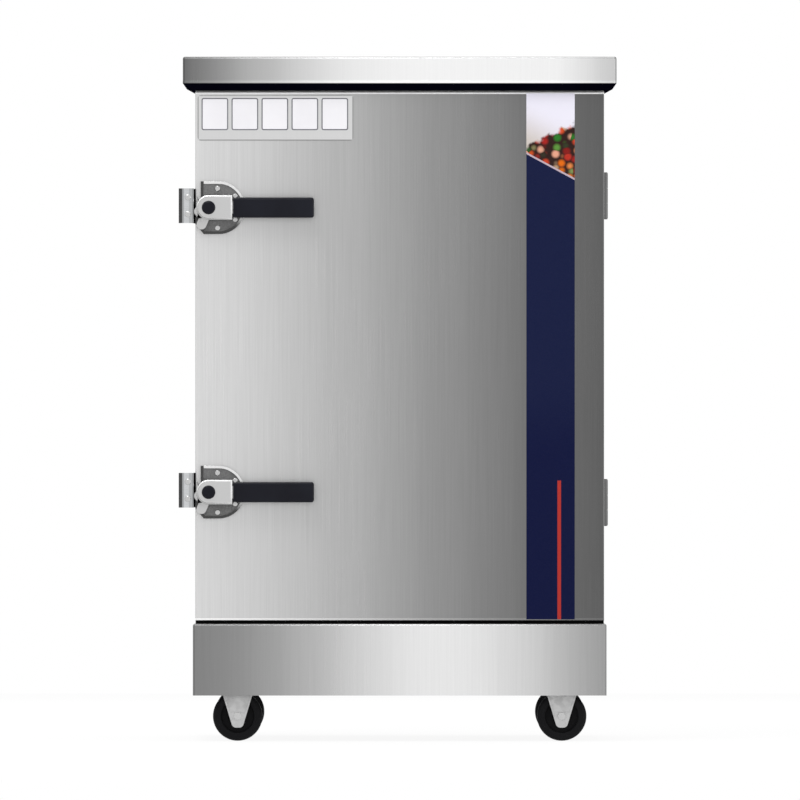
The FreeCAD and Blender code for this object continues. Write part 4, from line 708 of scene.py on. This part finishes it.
def painted_light_edge(name, height, shaded_level, bright, spread, left):
    """Plating with a painted highlight above a tilted line through a height, and painted
    shade below it and left of a place.
    """
    finish = Finish(name, Metallic=1.0)
    rubs = finish.noise((120.0, 120.0, 120.0), detail=3.0)
    rise = (finish.z - height) + (finish.x - PIVOT_X) * HIGHLIGHT_TILT
    # Painted highlight above a tilted line, painted shade below it and at the left
    highlit_share = finish.step(rise + rubs * HIGHLIGHT_WAVER, -spread, spread)
    highlit_share = highlit_share * finish.step(finish.x, left, left + LEFT_FADE)
    colour = finish.mix(highlit_share, grey(shaded_level), grey(bright))
    finish.feed("Base Color", finish.mix(rubs * 0.2, colour, grey(shaded_level * 0.7)))
    finish.feed("Roughness", rubs * 0.12 + 0.2)
    finish.bump(rubs, strength=0.08, distance=0.0002)
    return finish.material


for level, height in LATCH_LEVELS.items():
    plate = soften(f"latch_base_{level}", f"latch_plate_{level}", 0.0007)
    front = min(corner.co.y for corner in plate.data.vertices)
    # The rim's painted highlight on top and painted shade below
    plate.data.materials.append(painted_light_edge(f"rim_{level}", height, shaded_level=0.07, bright=0.86,
                                          spread=0.014, left=-0.3168))
    for face in plate.data.polygons:
        if face.center.y < front + RIM_BAND:
            face.material_index = 1
    finish_piece(plate, "door", zinc_plate, [f"latch_base_{level}"])

# %% [markdown]
# The head that turns on the plate is a chromed block with a round left end. Seen from the
# front it has a flat centre inside a thin border, with a painted highlight along its top
# and painted shade below, so its front face is inset, the centre is sunk a little and
# then every front edge is rounded. It is a shell over the plain head of the solid model.

# %% Latch heads
HEAD_RADIUS = 0.01985
HEAD_FRONT, HEAD_BACK = -0.3357, -0.3136
HEAD_RIGHT = -0.2699
HEAD_ROUND = HEAD_RADIUS * 0.998  # two full rounds would meet in one line
BORDER, BORDER_SLOPE, BORDER_STEP = 0.0024, 0.0005, 0.0004
BORDER_DEPTH = 0.004
CENTRE_AREA = 0.0004


def latch_head(level, height):
    low = (PIVOT_X - HEAD_RADIUS, HEAD_FRONT, height - HEAD_RADIUS)
    head = block(f"latch_head_{level}", low, (HEAD_RIGHT, HEAD_BACK, height + HEAD_RADIUS))
    choose("EDGE", running(1, lambda middle: middle.x < PIVOT_X))
    bevel(HEAD_ROUND, 14)
    choose("FACE", facing(1, -1))
    bpy.ops.mesh.inset(thickness=BORDER, depth=0)
    # The centre has the round end's many corners, and the faces of the border have four
    choose("FACE", lambda face: facing(1, -1)(face) and len(face.verts) > 6)
    bpy.ops.mesh.inset(thickness=BORDER_SLOPE, depth=-BORDER_STEP)
    choose("EDGE", lambda edge: is_corner(edge)
           and (edge.verts[0].co.y + edge.verts[1].co.y) / 2 < HEAD_FRONT + NEAR)
    bevel(0.0016, 4)
    bpy.ops.object.mode_set(mode="OBJECT")
    head.data.materials.append(chrome_head)
    # The border's painted highlight on top and painted shade below
    head.data.materials.append(painted_light_edge(f"border_{level}", height, shaded_level=0.45, bright=0.95,
                                         spread=0.012, left=-0.4))
    for face in head.data.polygons:
        centre = face.area > CENTRE_AREA and facing(1, -1)(face)
        face.material_index = 0 if centre or face.center.y > HEAD_FRONT + BORDER_DEPTH else 1
    return finish_piece(head, f"latch_{level}", chrome_head)


for level, height in LATCH_LEVELS.items():
    latch_head(level, height)

# %% [markdown]
# The grip is a black moulding pushed over the lever. It has a collar beside the head, then
# a groove, then a plain body with well rounded edges. From one box: the left end is inset
# and drawn out for the groove, inset outwards and drawn out again for the collar.

# %% Moulded grips
GRIP_LEFT, GRIP_RIGHT = -0.2640, -0.1382
GRIP_FRONT, GRIP_BACK = -0.3358, -0.3182
GRIP_HALF = 0.0164
GRIP_ROUND, GRIP_END_ROUND = 0.0042, 0.0050
GROOVE, COLLAR, GROOVE_DEPTH = 0.0012, 0.0035, 0.0010


def moulded_grip(level, height):
    grip = block(f"latch_grip_{level}_moulded", (GRIP_LEFT, GRIP_FRONT, height - GRIP_HALF),
                 (GRIP_RIGHT, GRIP_BACK, height + GRIP_HALF))
    choose("EDGE", running(0))
    bevel(GRIP_ROUND, 5)
    choose("EDGE", lambda edge: is_corner(edge)
           and min(corner.co.x for corner in edge.verts) > GRIP_RIGHT - NEAR)
    bevel(GRIP_END_ROUND, 5)
    choose("FACE", facing(0, -1))
    bpy.ops.mesh.inset(thickness=GROOVE_DEPTH, depth=0)
    bpy.ops.mesh.extrude_region_move(TRANSFORM_OT_translate={"value": (-GROOVE, 0, 0)})
    bpy.ops.mesh.inset(thickness=GROOVE_DEPTH, depth=0, use_outset=True)
    bpy.ops.mesh.extrude_region_move(TRANSFORM_OT_translate={"value": (-COLLAR, 0, 0)})
    choose("EDGE", lambda edge: is_corner(edge)
           and max(corner.co.x for corner in edge.verts) < GRIP_LEFT - GROOVE - COLLAR + NEAR)
    bevel(0.0008, 2)
    return finish_piece(grip, f"latch_{level}", grip_black,
                        [f"latch_grip_{level}"])


for level, height in LATCH_LEVELS.items():
    moulded_grip(level, height)

# %% [markdown]
# ## Screw heads
# A screw head is a shallow dome with a cross recess. One is modelled, and the copies go
# onto the plates, where the solid model already has plain heads. The recess is cut with a
# Boolean modifier, which is the usual way to take one shape out of another.

# %% One cross-recessed head
SCREW_RADIUS, SCREW_HEIGHT = 0.0043, 0.0020
DOME_SHARE = 0.62  # of the head's height
SLOT_LENGTH, SLOT_WIDTH, SLOT_DEPTH = 0.62, 0.13, 0.55  # of its radius and its height
PLATE_FACE = -0.3060
LATCH_SCREWS = [(0.0143, 0.0310), (0.0428, 0.0187), (0.0428, -0.0187), (0.0143, -0.0327)]


def cut_away(piece, tool):
    cutter = piece.modifiers.new("recess", "BOOLEAN")
    cutter.operation, cutter.object, cutter.solver = "DIFFERENCE", tool, "EXACT"
    work_on(piece)
    bpy.ops.object.modifier_apply(modifier=cutter.name)
    bpy.data.objects.remove(tool)


def screw_head(name, x, y, z, radius, height, slots):
    """A domed head on a plate that faces -Y, its recess cut by one or two blades."""
    drop_selection()
    bpy.ops.mesh.primitive_cylinder_add(vertices=28, radius=radius, depth=height,
                                        location=(x, y - height / 2, z),
                                        rotation=(math.radians(90), 0, 0))
    head = bpy.context.object
    head.name = name
    apply_transform()
    bpy.ops.object.mode_set(mode="EDIT")
    choose("EDGE", lambda edge: max(corner.co.y for corner in edge.verts) < y - height + NEAR)
    bevel(height * DOME_SHARE, 4)
    bpy.ops.object.mode_set(mode="OBJECT")
    long, thin = radius * SLOT_LENGTH, radius * SLOT_WIDTH
    for across, up in ((long, thin), (thin, long))[:slots]:
        blade = block("blade", (x - across, y - height * 1.3, z - up),
                      (x + across, y - height * (1 - SLOT_DEPTH), z + up))
        bpy.ops.object.mode_set(mode="OBJECT")
        cut_away(head, blade)
    return head


first_x, first_z = LATCH_SCREWS[0]
first_head = screw_head("plate_screw_upper_1", PIVOT_X + first_x, PLATE_FACE,
                        LATCH_LEVELS["upper"] + first_z, SCREW_RADIUS, SCREW_HEIGHT, 2)
for level, height in LATCH_LEVELS.items():
    for count, (across, up) in enumerate(LATCH_SCREWS, 1):
        name = f"plate_screw_{level}_{count}"
        shift = (across - first_x, 0, height - LATCH_LEVELS["upper"] + up - first_z)
        head = copy_to(first_head, name, shift) if any(shift) else first_head
        finish_piece(head, "door", chrome_screw)

# %% [markdown]
# ## Keepers and hinges
# The keepers are bent from chromed strip and screwed to the frame beside the door, each
# with two larger slotted screws. The hinges are small folded leaves. Both only need their
# edges broken.

# %% Keepers, their screws and the hinges
KEEPER_SCREW_X, KEEPER_FACE = -0.3416, -0.3180
KEEPER_SCREW_RADIUS, KEEPER_SCREW_HEIGHT = 0.0051, 0.0032
KEEPER_RISE, KEEPER_SPREAD = 0.0031, 0.0137
LONG_EDGE = 0.05
slotted = screw_head("keeper_screw_upper_1", KEEPER_SCREW_X, KEEPER_FACE,
                     LATCH_LEVELS["upper"] + KEEPER_RISE + KEEPER_SPREAD,
                     KEEPER_SCREW_RADIUS, KEEPER_SCREW_HEIGHT, 1)
for level, height in LATCH_LEVELS.items():
    keeper = soften(f"keeper_{level}", f"keeper_plate_{level}", 0.0009, pick=lambda edge:
                    running(2)(edge) and edge.calc_length() > LONG_EDGE)
    finish_piece(keeper, "cabinet", chrome_keeper, [f"keeper_{level}"])
    for count, side in enumerate((1, -1), 1):
        name = f"keeper_screw_{level}_{count}"
        shift = (0, 0, height - LATCH_LEVELS["upper"] + (side - 1) * KEEPER_SPREAD)
        screw = copy_to(slotted, name, shift) if any(shift) else slotted
        finish_piece(screw, "cabinet", chrome_screw)
for node, body in (("hinge_body_leaves", "cabinet"), ("hinge_door_leaves", "door")):
    leaves = soften(node, node + "_rounded", 0.0004)
    finish_piece(leaves, body, steel_hinge, [node])

# %% [markdown]
# ## Casters
# Each wheel has a solid black tyre moulded on a core with a thick hub. The tyre is a flat
# section, its outer corners bevelled, spun once round the axle. The face inside the
# section goes first, or it would stay as a wall inside the tyre. The core is a short
# cylinder whose two ends are inset and drawn out into the hub. The forks are pressed
# sheet, softened like the other nodes.

# %% One wheel, then its copies
WHEELS = {"front_left": (-0.262, -0.238), "front_right": (0.262, -0.238),
          "rear_left": (-0.262, 0.198), "rear_right": (0.262, 0.198)}
AXLE_LEVEL = 0.040
TYRE_OUTSIDE, TYRE_INSIDE, TYRE_HALF = 0.0400, 0.0268, 0.0130
TREAD_ROUND, BEAD_ROUND = 0.0055, 0.0012
CORE_RADIUS = TYRE_INSIDE + 0.0004  # the tyre grips it
HUB_RADIUS, HUB_HALF = 0.0140, 0.0154
HUB_SLOPE = 0.0016
WEB_HALF = 0.0040


def tyre(x, y):
    drop_selection()
    bpy.ops.mesh.primitive_plane_add(
        size=1, location=(x + (TYRE_OUTSIDE + TYRE_INSIDE) / 2, y, AXLE_LEVEL))
    ring = bpy.context.object
    ring.scale = (TYRE_OUTSIDE - TYRE_INSIDE, TYRE_HALF * 2, 1)
    apply_transform()
    bpy.ops.object.mode_set(mode="EDIT")
    choose("VERT", lambda corner: corner.co.x > x + TYRE_OUTSIDE - NEAR)
    bpy.ops.mesh.bevel(offset=TREAD_ROUND, segments=5, affect="VERTICES")
    choose("VERT", lambda corner: corner.co.x < x + TYRE_INSIDE + NEAR)
    bpy.ops.mesh.bevel(offset=BEAD_ROUND, segments=2, affect="VERTICES")
    bpy.ops.mesh.select_all(action="SELECT")
    bpy.ops.mesh.delete(type="ONLY_FACE")
    bpy.ops.mesh.select_all(action="SELECT")
    bpy.ops.mesh.spin(steps=64, angle=math.tau, center=(x, y, AXLE_LEVEL), axis=(0, 1, 0))
    bpy.ops.mesh.select_all(action="SELECT")
    bpy.ops.mesh.remove_doubles(threshold=MERGE_DISTANCE * 2)
    bpy.ops.mesh.normals_make_consistent(inside=False)
    bpy.ops.object.mode_set(mode="OBJECT")
    return ring


def wheel_core(x, y):
    drop_selection()
    bpy.ops.mesh.primitive_cylinder_add(
        vertices=48, radius=CORE_RADIUS, depth=WEB_HALF * 2,
        location=(x, y, AXLE_LEVEL), rotation=(math.radians(90), 0, 0))
    core = bpy.context.object
    apply_transform()
    bpy.ops.object.mode_set(mode="EDIT")
    for side in (-1, 1):
        choose("FACE", facing(1, side))
        bpy.ops.mesh.inset(thickness=CORE_RADIUS - HUB_RADIUS - HUB_SLOPE, depth=0)
        bpy.ops.mesh.inset(thickness=HUB_SLOPE, depth=HUB_SLOPE)
        bpy.ops.mesh.extrude_region_move(
            TRANSFORM_OT_translate={"value": (0, side * (HUB_HALF - WEB_HALF - HUB_SLOPE), 0)})
        choose("EDGE", lambda edge: min(corner.co.y * side for corner in edge.verts)
               > y * side + HUB_HALF - NEAR * 2)
        bevel(0.0010, 2)
    bpy.ops.object.mode_set(mode="OBJECT")
    return core


start_x, start_y = WHEELS["front_left"]
ring, core = tyre(start_x, start_y), wheel_core(start_x, start_y)
work_on(ring)
core.select_set(True)
bpy.ops.object.join()
ring.name = "wheel_front_left_turned"
for place, (x, y) in WHEELS.items():
    shift = (x - start_x, y - start_y, 0)
    wheel = copy_to(ring, f"wheel_{place}_turned", shift) if any(shift) else ring
    finish_piece(wheel, f"wheel_{place}", wheel_black,
                 [f"caster_wheel_{place}"])
forks = soften("caster_forks", "caster_forks_pressed", 0.0005)
finish_piece(forks, "cabinet", zinc_caster, ["caster_forks"])

# %% [markdown]
# ## The badge
# A pale plate at the top of the door carries five framed fields in a row. Each field is a
# thin tile with rounded corners: the tile's edge is the frame, and its front is inset for
# the field. The fields are left plain. One tile is modelled and copied along the plate.

# %% Badge plate with five framed fields
plate = soften("badge_plate", "badge_plate_rounded", 0.0003)
finish_piece(plate, "door", badge_plate, ["badge_plate"])
FIELD_LEFT = badge_low.x + 0.0062
FIELD_WIDTH, FIELD_PITCH = 0.0430, 0.0484
FIELD_TOP, FIELD_BOTTOM = badge_high.z - 0.0045, badge_high.z - 0.0565
FIELD_FRONT, FIELD_BACK = badge_low.y - 0.0004, badge_low.y + 0.0002
FRAME_WIDTH, FRAME_STEP = 0.0016, 0.0002
tile = block("badge_field_1", (FIELD_LEFT, FIELD_FRONT, FIELD_BOTTOM),
             (FIELD_LEFT + FIELD_WIDTH, FIELD_BACK, FIELD_TOP))
choose("EDGE", running(1))
bevel(0.0035, 5)
choose("FACE", facing(1, -1))
bpy.ops.mesh.inset(thickness=FRAME_WIDTH, depth=0)
bpy.ops.mesh.inset(thickness=FRAME_STEP, depth=-FRAME_STEP)
bpy.ops.object.mode_set(mode="OBJECT")
tile.data.materials.append(badge_frame)
tile.data.materials.append(badge_panel)
widest = max(tile.data.polygons, key=lambda face: face.area * (face.normal.y < -0.9))
widest.material_index = 1
for count in range(5):
    field = tile if count == 0 else copy_to(tile, f"badge_field_{count + 1}",
                                            (count * FIELD_PITCH, 0, 0))
    finish_piece(field, "door", badge_frame)

# %% [markdown]
# ## Edges of the sheets
# The front sheet of the cover is turned in along its lower edge, which leaves a narrow
# round bead that catches the light. The bead is a long thin box with its long edges
# rounded. The lid of the float box and the terminal cover are folded sheet, softened.

# %% Cover bead, lid and terminal cover
BEAD_SHORT = 0.0045
BEAD_OUT, BEAD_IN = 0.0005, 0.0009
BEAD_BOTTOM, BEAD_TOP = 0.0001, 0.0040
bead = block("cover_bead",
             (cover_low.x + BEAD_SHORT, cover_low.y - BEAD_OUT, cover_low.z + BEAD_BOTTOM),
             (cover_high.x - BEAD_SHORT, cover_low.y + BEAD_IN, cover_low.z + BEAD_TOP))
choose("EDGE", running(0))
bevel(0.0006, 3)
choose("FACE", facing(0, 1))
bpy.ops.mesh.inset(thickness=0.0002, depth=0)
finish_piece(bead, "cabinet", steel_cover)
for node, body, slot in (("float_box_lid", "float_lid", "float_box_steel"),
                         ("terminal_cover", "cabinet", "terminal_steel")):
    sheet = soften(node, node + "_folded", 0.0005)
    finish_piece(sheet, body, steel_panel, [node])

# %% [markdown]
# ## Threads
# The water inlet and the drain end in half-inch threads. A thread is a row of ridges: one
# ridge is a thin ring, drawn out and back in, and an Array modifier repeats it.

# %% Threads of the inlet and the drain
THREAD_RADIUS, THREAD_PITCH = 0.01052, 0.0018
RIDGE = 0.00038
RIDGE_PARTS = (0.45, 0.10, 0.45)  # flank, crest and flank, of the pitch


def thread(name, start, axis, ridges):
    """Brass ridges from a start point along an axis, 0 for X and 1 for Y."""
    turn = (0, math.radians(90), 0) if axis == 0 else (math.radians(90), 0, 0)
    drop_selection()
    bpy.ops.mesh.primitive_circle_add(vertices=40, radius=THREAD_RADIUS, location=start,
                                      rotation=turn)
    ring = bpy.context.object
    ring.name = name
    apply_transform()
    bpy.ops.object.mode_set(mode="EDIT")
    bpy.ops.mesh.select_mode(type="EDGE")
    bpy.ops.mesh.select_all(action="SELECT")
    grow = 1 + RIDGE / THREAD_RADIUS
    for share, scale in zip(RIDGE_PARTS, (grow, 1.0, 1 / grow)):
        step = [0, 0, 0]
        step[axis] = THREAD_PITCH * share
        bpy.ops.mesh.extrude_region_move(TRANSFORM_OT_translate={"value": step})
        bpy.ops.transform.resize(value=(scale, scale, scale), center_override=start)
    bpy.ops.object.mode_set(mode="OBJECT")
    row = ring.modifiers.new("row", "ARRAY")
    row.count = ridges
    row.use_relative_offset, row.use_constant_offset = False, True
    offset = [0, 0, 0]
    offset[axis] = THREAD_PITCH
    row.constant_offset_displace = offset
    row.use_merge_vertices, row.merge_threshold = True, MERGE_DISTANCE * 2
    bpy.ops.object.modifier_apply(modifier=row.name)
    return finish_piece(ring, "cabinet", brass_valve, smooth=20)


thread("inlet_thread", (-0.2615, 0.299, 0.315), 0, 11)
thread("drain_thread", (0, 0.3228, 0.129), 1, 7)

# %% [markdown]
# ## Floor, light and camera
# The cabinet stands on a pale floor before a white ground, lit by large soft lamps. Steel
# shows what is around it, so the world is white where a mirror looks at it, and its light
# on the steel is a plain level. The floor is nearly white to the camera and still takes
# the cabinet's faint shadow.

# %% Floor
FLOOR_SIZE, FLOOR_BACK = 8.0, 0.6
FLOOR_GLOW, GLOW_SHARE = 1.02, 0.88
SEEING_RAYS = ("Is Camera Ray", "Is Glossy Ray", "Is Transmission Ray")
drop_selection()
bpy.ops.mesh.primitive_plane_add(size=FLOOR_SIZE, location=(0, FLOOR_BACK, 0))
floor = bpy.context.object
floor.name = "floor"
floor_finish = Finish("floor_white", Roughness=0.9, Specular_IOR_Level=0.1)
dust = floor_finish.noise((3.0, 3.0, 3.0), detail=3.0)
floor_finish.feed("Base Color", floor_finish.mix(dust * 0.1, grey(0.86), grey(0.78)))
glow = floor_finish.add("ShaderNodeEmission", {}, {"Color": grey(1.0),
                                                   "Strength": FLOOR_GLOW})
seen = floor_finish.largest(*(floor_finish.add("ShaderNodeLightPath", {}, {}, ray)
                              for ray in SEEING_RAYS))
blend = floor_finish.add("ShaderNodeMixShader", {}, {
    0: seen * GLOW_SHARE,
    1: Socket(floor_finish, floor_finish.shader.outputs[0]), 2: glow})
output = floor_finish.tree.nodes["Material Output"]
floor_finish.tree.links.new(blend.link, output.inputs["Surface"])
floor.data.materials.append(floor_finish.material)

# %% World
SKY_LIGHT, SKY_SEEN = 0.75, 1.0
world = bpy.data.worlds.new("white_studio")
bpy.context.scene.world = world
world.use_nodes = True
sky = world.node_tree
background = sky.nodes["Background"]
background.inputs["Color"].default_value = (1, 1, 1, 1)
paths = sky.nodes.new("ShaderNodeLightPath")
seen = paths.outputs[SEEING_RAYS[0]]
for ray in SEEING_RAYS[1:]:
    larger = sky.nodes.new("ShaderNodeMath")
    larger.operation = "MAXIMUM"
    sky.links.new(seen, larger.inputs[0])
    sky.links.new(paths.outputs[ray], larger.inputs[1])
    seen = larger.outputs[0]
strength = sky.nodes.new("ShaderNodeMapRange")
strength.inputs["To Min"].default_value = SKY_LIGHT
strength.inputs["To Max"].default_value = SKY_SEEN
sky.links.new(seen, strength.inputs["Value"])
sky.links.new(strength.outputs[0], background.inputs["Strength"])

# %% Lamps
MIDDLE = mathutils.Vector((0, 0, 0.55))
# Each lamp's place, size in metres and power in watts
LAMPS = {"key_lamp": ((-0.9, -2.4, 3.4), 1.4, 46), "fill_lamp": ((2.6, -2.6, 1.0), 2.4, 12),
         "top_lamp": ((0, 0.2, 3.4), 2.4, 20), "back_lamp": ((0, 3.4, 1.8), 2.4, 16)}
for name, (place, size, power) in LAMPS.items():
    data = bpy.data.lights.new(name, "AREA")
    data.shape, data.size, data.energy = "SQUARE", size, power
    light = bpy.data.objects.new(name, data)
    light.location = place
    aim = MIDDLE - mathutils.Vector(place)
    light.rotation_euler = aim.to_track_quat("-Z", "Y").to_euler()
    bpy.context.collection.objects.link(light)
print("lamps:", len(bpy.data.lights))

# %% [markdown]
# The photograph is taken square to the door from far away, so hardly any perspective
# shows. The camera stands thirty metres in front of the door, and a very long lens fills the
# frame.

# %% Camera
VIEW_WIDTH = 1.2904
FAR = 30.0
FRONT = -0.320
SENSOR = 36.0
EYE_X, EYE_Z = 0.0005, 0.5510
eye_data = bpy.data.cameras.new("studio_camera")
eye_data.sensor_width = SENSOR
eye_data.lens = SENSOR * FAR / VIEW_WIDTH
eye_data.clip_end = 80.0
eye = bpy.data.objects.new("studio_camera", eye_data)
eye.location = (EYE_X, FRONT - FAR, EYE_Z)
eye.rotation_euler = (math.radians(90), 0, 0)
bpy.context.collection.objects.link(eye)
bpy.context.scene.camera = eye
bpy.context.scene.view_settings.view_transform = "Standard"
